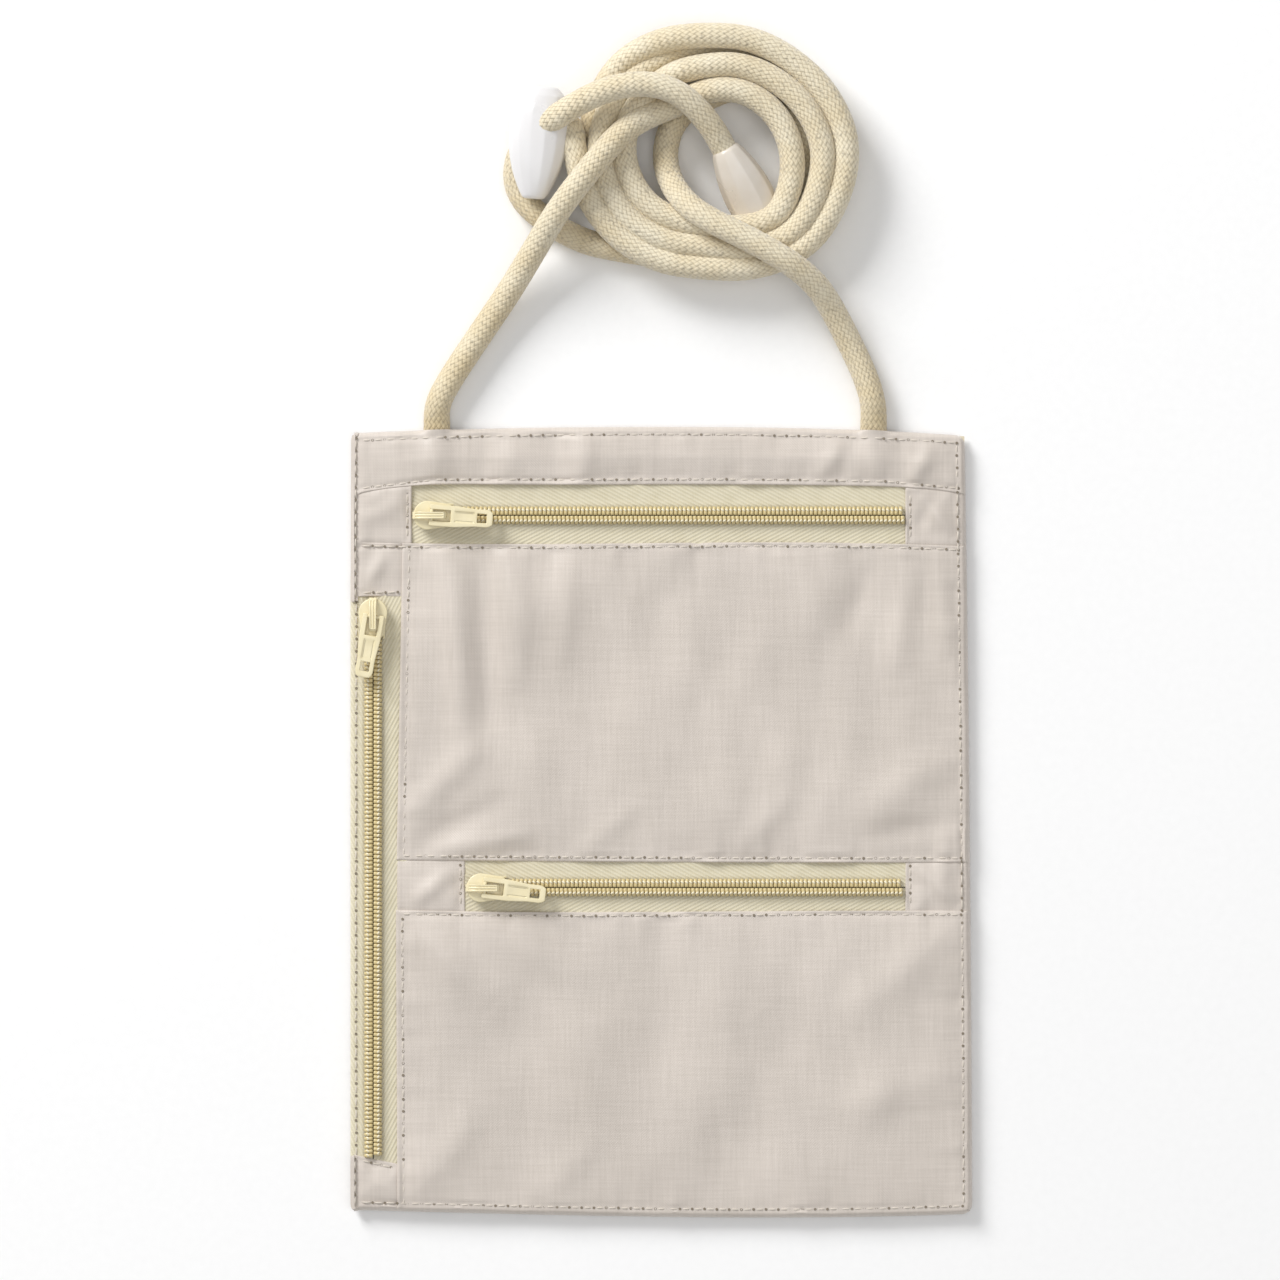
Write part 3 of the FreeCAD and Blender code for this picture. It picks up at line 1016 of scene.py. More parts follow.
# Folds of the front: both ends' x and y, width and rise.
FRONT_CREASES = tuple(Crease((x0, y0), (x1, y1), width, rise) for x0, y0, x1, y1, width, rise in (
    (-50.5, 70.0, -47.5, 12.0, 3.6, 0.62), (-43.0, 70.0, -41.0, 20.0, 3.2, -0.55),
    (-35.0, 70.0, -34.0, 30.0, 3.6, 0.42), (-22.0, 69.0, -24.0, 36.0, 3.4, 0.4),
    (-61.0, 2.0, -42.0, 20.0, 3.6, 0.42), (-61.0, -6.0, -36.0, 6.0, 3.0, -0.36),
    (-56.0, -7.5, -30.0, -2.0, 2.4, 0.34), (-20.0, -8.0, -4.0, 6.0, 3.0, 0.26),
    (18.0, -8.0, 32.0, 8.0, 3.4, 0.3), (60.0, 64.0, 56.0, 34.0, 3.6, 0.48),
    (67.0, 65.0, 68.5, 38.0, 2.8, 0.44), (52.0, 65.0, 44.0, 44.0, 3.2, -0.32),
    (70.0, 16.0, 50.0, 4.0, 5.0, 0.4), (71.0, 0.0, 46.0, -4.0, 3.2, -0.34),
    (-60.0, -24.0, -40.0, -44.0, 4.4, 0.36), (-46.0, -24.0, -10.0, -40.0, 4.6, 0.3),
    (6.0, -24.0, 24.0, -46.0, 4.6, -0.3), (70.0, -26.0, 42.0, -48.0, 5.4, 0.46),
    (72.0, -60.0, 40.0, -70.0, 5.0, 0.36), (-60.0, -88.0, -44.0, -70.0, 4.4, 0.36),
    (-30.0, -92.0, -14.0, -74.0, 4.0, 0.28), (-73.0, 72.6, -61.5, 78.0, 2.6, 0.36),
    (-71.5, 77.5, -66.0, 79.5, 1.6, 0.2), (62.0, 79.5, 71.0, 69.0, 2.2, 0.42),
    (61.5, 70.0, 66.0, 79.0, 1.9, -0.28), (-60.0, -19.5, -50.0, -11.5, 2.2, 0.4),
    (62.0, -11.0, 72.0, -19.5, 2.2, 0.4), (-71.0, 57.0, -66.0, 65.5, 1.8, 0.3),
    (-43.0, 95.0, -42.0, 81.0, 3.0, -0.36), (-36.0, 95.0, -35.0, 81.0, 3.0, 0.36),
    (-26.0, 95.0, -24.0, 81.0, 3.4, -0.42), (-18.0, 95.0, -18.5, 81.0, 2.6, 0.36),
    (44.0, 92.0, 38.0, 82.5, 2.2, 0.3), (66.0, 91.0, 60.0, 82.0, 2.2, 0.34),
    (LEFT_CORD_X, 101.0, LEFT_CORD_X, 82.0, 3.6, 0.55),
    (RIGHT_CORD_X, 101.0, RIGHT_CORD_X, 82.0, 3.6, 0.55),
))

TAPE_SEAMS = (
    edge_seam("side_tape", BACK_LEFT_EDGE, 1.45, -80.6, 53.2, 0.0, True),
)

BACK_SEAMS = (
    edge_seam("back_left", BACK_LEFT_EDGE, 2.1, -92.2, 92.4, 0.12, True),
    edge_seam("back_right", RIGHT_EDGE, -2.1, -92.2, 91.4, 0.12, True),
    edge_seam("back_top", FRONT_TOP_EDGE, -1.9, -72.4, 71.2, 0.12),
    edge_seam("back_bottom", FRONT_BOTTOM_EDGE, 2.1, -72.4, 72.6, 0.12),
)


@dataclass
class Stitching:
    """Lock stitches along the seams, and the needle holes between them as small dished rings coloured dark
    brown, a painted shade.
    """

    seams: Sequence[Seam]
    surface: Callable[[Array, Array], Array]
    prefix: str
    facing: int = 1
    pitch: float = 2.95
    length: float = 2.25
    radius: float = 0.19

    def stitch(self) -> bpy.types.Object:
        """One stitch of thread along x, which dives into the cloth at both ends."""
        half = self.length / 2
        piece = rod("stitch", (-half, 0, 0), (half, 0, 0), self.radius, 6)
        with Shaping(piece) as work:
            work.edges(lambda a, b: abs(a.x - b.x) > half).subdivide(3)
            work.points(lambda p: abs(p.x) > half * 0.4).move(z=-0.05)
            work.points(lambda p: abs(p.x) > half * 0.9).move(z=-0.3)
            work.points(lambda p: p.x > half * 0.9).scale(1, 0.55, 0.55, (half, 0, -0.35))
            work.points(lambda p: p.x < -half * 0.9).scale(1, 0.55, 0.55, (-half, 0, -0.35))
        return piece

    def hole(self) -> bpy.types.Object:
        """One needle hole: a small dished ring, which is coloured dark as painted shade."""
        piece = rod("hole", (0, 0, -0.12), (0, 0, 0.0), 0.34, 8)
        with Shaping(piece) as work:
            work.faces(lambda c, n: n.z > 0.9).inset(0.14, -0.08)
            work.points(lambda p: p.z < -0.11).scale(0.6, 0.6, 1)
        return piece

    def build(self, palette: Palette) -> None:
        """Sews every seam."""
        stitches: list[Matrix] = []
        holes: list[Matrix] = []
        for seam in self.seams:
            for place, angle, gap in self.places(seam):
                turn = Matrix.Rotation(angle, 4, "Z")
                flip = Matrix.Rotation(math.pi, 4, "X") if self.facing < 0 else Matrix.Identity(4)
                stitches.append(Matrix.Translation(place) @ turn @ flip)
                shift = turn @ Vector((gap / 2 * MM, 0, 0))
                sunk = Vector((0, 0, 0.03 * MM * self.facing))
                holes.append(Matrix.Translation(place + shift + sunk) @ turn @ flip)
        thread = repeat(self.prefix + "_thread", self.stitch(), stitches)
        dress(thread, palette.thread)
        # The holes get the dark finish: painted shade.
        painted_hole_shades = repeat(self.prefix + "_needle_holes", self.hole(), holes)
        dress(painted_hole_shades, palette.hole)

    def places(self, seam: Seam) -> list[tuple[Vector, float, float]]:
        """Where the stitches of one seam go: place, direction and pitch."""
        corners = np.array(seam.line)
        steps = np.hypot(*np.diff(corners, axis=0).T)
        run = np.concatenate([[0], np.cumsum(steps)])
        count = max(2, round(run[-1] / self.pitch))
        gap = run[-1] / count
        middles = (np.arange(count) + 0.5) * gap

        def at(place: Array) -> Array:
            """Both coordinates at lengths along the seam."""
            return np.array([np.interp(place, run, corners[:, axis]) for axis in (0, 1)])
        x, y = at(middles)
        z = self.surface(x, y) + self.facing * (self.radius * 0.4 - seam.sunk)
        ahead_x, ahead_y = at(middles + 0.5) - at(middles - 0.5)
        wobble = SoftNoise(len(seam.name)).line(middles / 1.7) * 0.05
        return [(Vector((a, b, c)) * MM, math.atan2(dy, dx) + w, gap)
                for a, b, c, dx, dy, w in zip(x, y, z, ahead_x, ahead_y, wobble)]


@dataclass
class PouchBody:
    """Back, band, pocket panels, tabs and left binding, with their stitching."""

    palette: Palette
    front_level: float = 3.55
    back_level: float = 0.25
    relief: Relief = field(default_factory=lambda: Relief(FRONT_SEAMS, FRONT_CREASES, outline_margin))
    back_relief: Relief = field(
        default_factory=lambda: Relief(BACK_SEAMS, (), outline_margin, 0.0, 0.0, 0.9, 11))

    def panels(self) -> list[ClothPanel]:
        """The front's cloth, from the back layer to the top one."""
        fold, rim, tuck = Side.FOLD, Side.RIM, Side.TUCK
        low_tab, tab = self.front_level - 0.35, self.front_level - 0.3
        cords = (LEFT_CORD_X, RIGHT_CORD_X)
        return [
            ClothPanel("top_left_tab", level(-74.0), level(-60.0),
                       shifted(MIDDLE_TOP, -1.0), shifted(BAND_FOLD, 1.5),
                       (tuck, fold, tuck, tuck), self.relief, tab, ("top_zip_left_tab",), 0.6),
            ClothPanel("top_right_tab", level(58.8), RIGHT_EDGE,
                       shifted(MIDDLE_TOP, -1.0), shifted(BAND_FOLD, 1.5),
                       (fold, rim, tuck, tuck), self.relief, tab, ("top_zip_right_tab",), 0.6),
            ClothPanel("side_top_tab", level(-74.0), shifted(MIDDLE_LEFT, 1.0),
                       level(54.4), shifted(MIDDLE_TOP, 0.05),
                       (tuck, tuck, fold, fold), self.relief, low_tab, ("side_zip_top_tab",), 0.6),
            ClothPanel("side_bottom_tab", level(-74.0), shifted(LOWER_LEFT, 1.0), FRONT_BOTTOM_EDGE,
                       bow((-74.0, -79.9), (-63.0, -82.2)), (tuck, tuck, rim, fold), self.relief, low_tab,
                       ("side_zip_bottom_tab",), 0.6),
            ClothPanel("lower_left_tab", shifted(MIDDLE_LEFT, 0.1), level(-47.2), shifted(LOWER_TOP, -1.5),
                       shifted(MIDDLE_BOTTOM, 1.5), (fold, fold, tuck, tuck), self.relief, tab,
                       ("lower_zip_left_tab",), 0.6),
            ClothPanel("lower_right_tab", level(58.8), RIGHT_EDGE, shifted(LOWER_TOP, -1.5),
                       shifted(MIDDLE_BOTTOM, 1.5), (fold, rim, tuck, tuck), self.relief, tab,
                       ("lower_zip_right_tab",), 0.6),
            ClothPanel("middle_panel_cloth", MIDDLE_LEFT, RIGHT_EDGE, MIDDLE_BOTTOM, MIDDLE_TOP,
                       (fold, rim, fold, fold), self.relief, self.front_level,
                       ("middle_panel", "hem_right"), 0.8),
            ClothPanel("lower_panel_cloth", LOWER_LEFT, RIGHT_EDGE, FRONT_BOTTOM_EDGE, LOWER_TOP,
                       (fold, rim, rim, fold), self.relief, self.front_level,
                       ("lower_panel", "hem_bottom"), 0.8),
            ClothPanel("band_cloth", level(-74.0), RIGHT_EDGE, BAND_FOLD, FRONT_TOP_EDGE,
                       (tuck, rim, fold, rim), self.relief, self.front_level, ("top_band", "hem_top"), 0.6,
                       lifts=cords),
            ClothPanel("upper_binding", BACK_LEFT_EDGE, BINDING_EDGE, level(53.4), FRONT_TOP_EDGE,
                       (rim, tuck, fold, rim), self.relief, self.front_level - 0.1, (), 0.6,
                       rim_round=0.8, corner=2.0, is_hem=True),
            ClothPanel("lower_binding", BACK_LEFT_EDGE, BINDING_EDGE, FRONT_BOTTOM_EDGE, level(-80.4),
                       (rim, tuck, rim, fold), self.relief, self.front_level - 0.1, (), 0.6,
                       rim_round=0.8, corner=2.0, is_hem=True),
        ]

    def build(self) -> None:
        """Makes and sews the pouch."""
        for panel in self.panels():
            panel.finish(self.palette)
        back = ClothPanel("back_cloth", shifted(BACK_LEFT_EDGE, 0.15), shifted(RIGHT_EDGE, -0.15),
                          shifted(FRONT_BOTTOM_EDGE, 0.15), shifted(FRONT_TOP_EDGE, -0.15),
                          (Side.RIM,) * 4, self.back_relief, self.back_level, ("back_panel",), 1.3,
                          rim_drop=1.4, lifts=(LEFT_CORD_X, RIGHT_CORD_X), facing=-1)
        back.finish(self.palette)
        Stitching(FRONT_SEAMS, self.front_surface, "front").build(self.palette)
        Stitching(BACK_SEAMS, self.back_surface, "back", -1).build(self.palette)
        Stitching(TAPE_SEAMS, self.tape_surface, "side_tape").build(self.palette)
        lining = bpy.data.objects["divider_lining"]
        lining.data.materials.clear()
        lining.data.materials.append(self.palette.lining)

    def front_surface(self, x: Array, y: Array) -> Array:
        """Height of the front's outer face."""
        return self.front_level + self.relief.height(x, y)

    def tape_surface(self, x: Array, y: Array) -> Array:
        """Height of the side zip's outer tape, which is level."""
        return np.full_like(x, TAPE_TOP)

    def back_surface(self, x: Array, y: Array) -> Array:
        """Height of the back's outer face."""
        return self.back_level - self.back_relief.height(x, y)


# ---------------------------------------------------------------- zips
NARROW_TAPE = 8.0


@dataclass
class Zip:
    """One zip: two tapes, two rows of coil with their holding threads, slider and pull.

    It is made along +x with the chain on y = 0 and the closed end at x = 0, then turned to its place.
    """

    palette: Palette
    name: str
    origin: Flat
    angle: float
    length: float
    halves: Flat
    askew: Flat
    coil_pitch: float = 1.02
    tuck: float = 5.0
    pivot: Flat = (4.4, 6.42)
    slider_gap: float = 0.4

    @property
    def matrix(self) -> Matrix:
        """Turn and place of the whole zip."""
        place = Vector((self.origin[0], self.origin[1], 0)) * MM
        return Matrix.Translation(place) @ Matrix.Rotation(math.radians(self.angle), 4, "Z")

    def build(self) -> None:
        """Makes the whole zip."""
        self.tape("tape_a", 1, self.halves[0])
        self.tape("tape_b", -1, self.halves[1])
        self.row("coil_a", 1)
        self.row("coil_b", -1)
        self.slider()
        self.pull()

    def tape(self, part: str, side: int, reach: float) -> None:
        """One tape: a slightly wavy strip with a raised woven edge beside the chain."""
        run = self.length + 2 * self.tuck
        columns, rows = round(run / 1.2), 18
        piece = lattice(self.name + "_zip_" + part + "_cloth", columns, rows)
        flat = read_points(piece)
        x = flat[:, 0] / columns * run - self.tuck
        away = 0.15 + flat[:, 1] / rows * (reach - 0.15)
        ripple = SoftNoise(len(self.name) + side)
        z = 2.86 + 0.07 * ripple.plane(x / 5, away / 5) + 0.16 * np.exp(-((away - 2.7) / 0.4) ** 2)
        if reach < NARROW_TAPE:
            outer = np.clip(1 - (reach - away) / 1.0, 0, 1)
            z = z - 1.5 * (1 - np.sqrt(1 - outer ** 2))
        write_points(piece, x, side * away, z)
        layer = piece.data.uv_layers.active or piece.data.uv_layers.new(name="tape_map")
        corners = np.empty(len(piece.data.loops), dtype=np.int32)
        piece.data.loops.foreach_get("vertex_index", corners)
        layer.data.foreach_set("uv", (np.column_stack([x, away])[corners] * MM).ravel())
        if side < 0:
            piece.data.flip_normals()
        piece.data.update()
        modify(piece, "SOLIDIFY", thickness=0.4 * MM, offset=-1.0)
        smooth(piece, 50)
        settle(piece, self.matrix)
        hem = ("hem_left",) if reach < NARROW_TAPE else ()
        dress(piece, self.palette.tape, stands_for=(self.name + "_zip_" + part, *hem))

    def loop_of_coil(self, side: int) -> bpy.types.Object:
        """One turn of coil: a bar with a thicker coupling head near the middle."""
        piece = rod("coil_turn", (0.0, side * 0.1, 3.86), (0.16, side * 2.12, 3.8), 0.46, 8)
        with Shaping(piece) as work:
            work.edges(lambda a, b: abs(a.y - b.y) > 1.0).subdivide(3)
            work.points(lambda p: abs(p.y) < 0.9).scale(1.12, 1, 1.05, (0.03, 0, 3.86))
            work.points(lambda p: abs(p.y) < 0.3).scale(0.86, 1, 0.86, (0.0, 0, 3.84))
            work.points(lambda p: abs(p.y) > 2.0).scale(0.75, 1, 0.8, (0.16, 0, 3.6)).move(z=-0.32)
        return piece

    def holding_stitch(self, side: int) -> bpy.types.Object:
        """One stitch of the thread that lies over the coil."""
        inner, outer = 0.86, 1.7
        piece = rod("holding_stitch", (-0.2, side * outer, 4.2), (0.24, side * inner, 4.2), 0.31, 8)
        with Shaping(piece) as work:
            work.edges(lambda a, b: abs(a.y - b.y) > 0.6).subdivide(3)
            work.points(lambda p: abs(p.y) > outer - 0.12).scale(0.5, 1, 0.5, (-0.2, 0, 4.1)).move(z=-0.26)
            work.points(lambda p: abs(p.y) < inner + 0.12).scale(0.5, 1, 0.5, (0.24, 0, 4.15)).move(z=-0.1)
        return piece

    def row(self, part: str, side: int) -> None:
        """One row of coil and the thread that holds it."""
        half = 0.0 if side > 0 else self.coil_pitch / 2
        count = int((self.length - 1.4) / self.coil_pitch)
        places = [Matrix.Translation(((1.3 + half + index * self.coil_pitch) * MM, 0, 0))
                  for index in range(count)]
        coil = repeat(self.name + "_zip_" + part + "_turns", self.loop_of_coil(side), places)
        settle(coil, self.matrix)
        dress(coil, self.palette.coil, stands_for=(self.name + "_zip_" + part,))
        thread = repeat(self.name + "_zip_" + part + "_thread", self.holding_stitch(side), places)
        settle(thread, self.matrix)
        dress(thread, self.palette.zip_thread)

    def plate(self, name: str, low: float, high: float) -> bpy.types.Object:
        """One of the slider's plates: round nose, waist and squared tail."""
        clear()
        bpy.ops.mesh.primitive_circle_add(
            vertices=40, radius=3.5 * MM, fill_type="NGON", location=(3.5 * MM, 0, low * MM))
        piece = take(name)
        with Shaping(piece) as work:
            work.points(lambda p: p.x > 3.6).move(x=3.0)
            work.points(lambda p: p.x > 6.5).scale(0.55, 0.8, 1, (10.0, 0, low))
            work.all().extrude(z=high - low)
        outward(piece)
        bevel(piece, 0.24, 3)
        return piece

    def walls(self) -> list[bpy.types.Object]:
        """Side flanges that guide the chain."""
        made = []
        for side in (-1, 1):
            low, high = sorted((side * 2.4, side * 2.85))
            piece = block("flange", (4.4, low, 3.35), (9.7, high, 5.0))
            with Shaping(piece) as work:
                work.edges(lambda a, b: abs(a.x - b.x) > 4).subdivide(2)
                work.points(lambda p: p.x < 4.6).move(y=side * 0.25)
            bevel(piece, 0.12, 2)
            made.append(piece)
        return made

    def bridge(self) -> bpy.types.Object:
        """Arch over the slider that holds the pull, with two grooves along its crown."""
        path = [(-0.1, 5.0), (-0.2, 6.0), (0.5, 6.9), (2.0, 7.5), (3.4, 7.7), (5.8, 7.72), (7.3, 7.6),
                (7.95, 6.9), (8.1, 5.5)]
        widths = [0.86, 0.88, 0.88, 0.84, 0.82, 0.8, 0.78, 0.78, 0.78]
        rows = [0.0, 0.22, 0.42, 0.58, 0.78, 1.0]
        piece = lattice("bridge", len(path) - 1, len(rows) - 1)
        with Shaping(piece) as work:
            for column, ((x, z), half) in reversed(list(enumerate(zip(path, widths)))):
                work.points(lambda p, c=column: abs(p.x - c) < NEAR and abs(p.z) < NEAR)
                work.scale(1, 2 * half / (len(rows) - 1), 1, (column, (len(rows) - 1) / 2, 0))
                work.move(x=x - column, y=-(len(rows) - 1) / 2, z=z)
            work.all()
            bpy.ops.mesh.normals_make_consistent(inside=False)
        modify(piece, "SOLIDIFY", thickness=0.62 * MM, offset=-1.0)
        outward(piece)
        with Shaping(piece) as work:
            work.faces(lambda c, n: n.z > 0.75 and 0.2 < abs(c.y) < 0.6 and 1.0 < c.x < 7.4)
            work.inset(0.07, -0.2)
        bevel(piece, 0.09, 2)
        return piece

    def slider(self) -> None:
        """Joins plates, flanges, post and bridge into the slider."""
        post = block("post", (0.5, -0.07, 2.0), (3.0, 0.07, 5.0))
        modify(post, "BEVEL", width=0.03 * MM, segments=2)
        parts = [self.plate("top_plate", 4.8, 5.7), self.plate("under_plate", 1.4, 2.2), post,
                 self.bridge(), *self.walls()]
        piece = smooth(join(self.name + "_zip_slider_body", parts), 35)
        settle(piece, self.matrix @ Matrix.Translation((self.slider_gap * MM, 0, 0)))
        name = self.name + "_zip_slider"
        dress(piece, self.palette.enamel, name, (name,))

    def pull(self) -> None:
        """Forked pull with a sunk panel, a square hole and its pin."""
        columns = [-0.55, -0.2, 0.6, 4.6, 5.5, 10.5, 11.0, 13.3, 14.1, 14.75]
        rows = [-2.6, -1.42, -1.1, 1.1, 1.42, 2.6]
        piece = lattice("pull", len(columns) - 1, len(rows) - 1)
        with Shaping(piece) as work:
            work.all().move(z=-1)
            for index, x in reversed(list(enumerate(columns))):
                work.points(lambda p, c=index: abs(p.x - c) < NEAR and p.z < -0.99).move(x=x - index, z=1)
            work.all().move(z=-1)
            for index, y in enumerate(rows):
                work.points(lambda p, c=index: abs(p.y - c) < NEAR and p.z < -0.99).move(y=y - index, z=1)
            work.faces(lambda c, n: c.x < 4.6 and abs(c.y) < 1.42)
            bpy.ops.mesh.delete(type="FACE")
            work.faces(lambda c, n: 11.0 < c.x < 13.3 and abs(c.y) < 1.1)
            bpy.ops.mesh.delete(type="FACE")
            work.points(lambda p: 10.0 < p.x < 13.5 and abs(p.y) > 2).scale(1, 0.82, 1)
            work.points(lambda p: p.x > 13.9).scale(1, 0.74, 1)
            work.points(lambda p: p.x > 14.5).scale(1, 0.74, 1)
            work.points(lambda p: p.x < -0.5 and abs(p.y) > 2).scale(1, 0.94, 1)
        modify(piece, "SOLIDIFY", thickness=1.1 * MM, offset=0.0)
        outward(piece)
        with Shaping(piece) as work:
            work.faces(lambda c, n: abs(n.z) > 0.9 and 5.5 < c.x < 10.5 and abs(c.y) < 1.42)
            work.inset(0.32, -0.24)
        bevel(piece, 0.2, 3)
        pin = rod("pin", (0, -2.2, 0), (0, 2.2, 0), 0.5, 16)
        bevel(pin, 0.08, 2)
        piece = smooth(join(self.name + "_zip_pull_tab", [piece, pin]), 35)
        tilt, shift = self.askew
        hang = Matrix.Translation(((self.pivot[0] + self.slider_gap) * MM, shift * MM, self.pivot[1] * MM))
        settle(piece, self.matrix @ hang @ Matrix.Rotation(math.radians(tilt), 4, "Z"))
        name = self.name + "_zip_pull"
        dress(piece, self.palette.enamel, name, (name,))


# ---------------------------------------------------------------- neck cord
COIL_CENTRE: Flat = (10.6, 162.9)

LEFT_LEG: tuple[Point, ...] = (
    (-54.0, 92.0, 3.1), (-54.0, 95.0, 3.1), (-54.0, 101.0, 3.1), (-50.0, 108.0, 3.2), (-43.0, 118.4, 3.3),
    (-36.4, 128.0, 4.4), (-30.4, 137.8, 7.6), (-25.6, 145.8, 11.4), (-20.2, 153.0, 14.0),
    (-14.9, 159.5, 14.2), (-10.3, 164.9, 12.8), (-5.8, 168.4, 11.0), (-1.2, 170.6, 9.6), (3.0, 172.4, 9.1),
)
RIGHT_LEG: tuple[Point, ...] = (
    (51.2, 92.0, 3.1), (51.2, 95.0, 3.1), (51.2, 101.0, 3.1), (49.2, 107.6, 3.2), (45.4, 115.6, 3.6),
    (41.0, 124.0, 6.2), (36.9, 129.8, 10.6), (30.9, 134.4, 14.2), (24.9, 137.9, 15.0),
    (18.9, 141.1, 15.0), (12.9, 143.9, 14.6), (7.0, 147.6, 13.2), (3.1, 152.4, 8.8),
    (1.2, 157.4, 5.0), (1.0, 162.6, 3.3), (2.6, 168.0, 3.1), (6.4, 172.2, 3.1),
)
OVER_STRAND: tuple[Point, ...] = (
    (-14.4, 138.6, 3.1), (-21.8, 141.4, 3.1), (-28.0, 145.2, 3.1), (-32.6, 149.0, 3.1),
    (-35.0, 153.6, 3.1), (-34.9, 158.6, 3.8), (-33.0, 162.9, 6.2), (-30.3, 166.2, 9.2),
    (-25.9, 168.9, 12.0), (-20.2, 172.5, 14.2), (-13.6, 175.6, 15.7), (-7.0, 177.1, 16.1),
    (-0.8, 176.9, 16.0), (4.6, 174.7, 15.4), (9.0, 170.9, 13.6), (12.4, 166.7, 11.2),
    (15.0, 162.3, 9.0), (17.1, 158.2, 7.5),
)
CORD_TAIL: tuple[Point, ...] = (
    (-21.0, 163.4, 8.4), (-21.4, 166.6, 7.2), (-23.4, 169.2, 5.6), (-26.4, 170.7, 4.6), (-29.4, 171.4, 4.2),
)

# Turns of the coil: eighths of a turn clockwise from +y, reach from the coil's centre, height.
LEFT_TURNS: tuple[Point, ...] = (
    (0, 12.9, 9.2), (1, 16.7, 9.0), (2, 20.8, 8.8), (3, 24.8, 8.8), (4, 19.1, 8.6), (5, 20.2, 8.6),
    (6, 20.0, 8.6), (7, 18.6, 8.8), (8, 19.0, 9.0), (9, 23.0, 9.0), (10, 28.8, 9.0), (11, 30.4, 9.0),
    (12, 24.5, 8.6), (13, 26.0, 8.6), (14, 25.8, 8.6), (15, 24.0, 5.9), (16, 23.6, 3.1), (17, 26.5, 3.1),
    (18, 31.2, 3.1), (19, 33.2, 3.1), (20, 27.8, 3.1),
)
RIGHT_TURNS: tuple[Point, ...] = (
    (0, 11.4, 3.1), (1, 19.0, 3.1), (2, 25.0, 3.1), (3, 27.2, 3.1), (4, 22.4, 3.1), (5, 23.2, 3.1),
    (6, 28.0, 3.1), (7, 28.7, 5.8), (8, 26.5, 8.4), (9, 29.4, 8.4), (10, 34.8, 8.4), (11, 34.8, 8.4),
    (12, 29.5, 8.4), (13, 30.8, 8.4), (14, 31.6, 8.4),
)


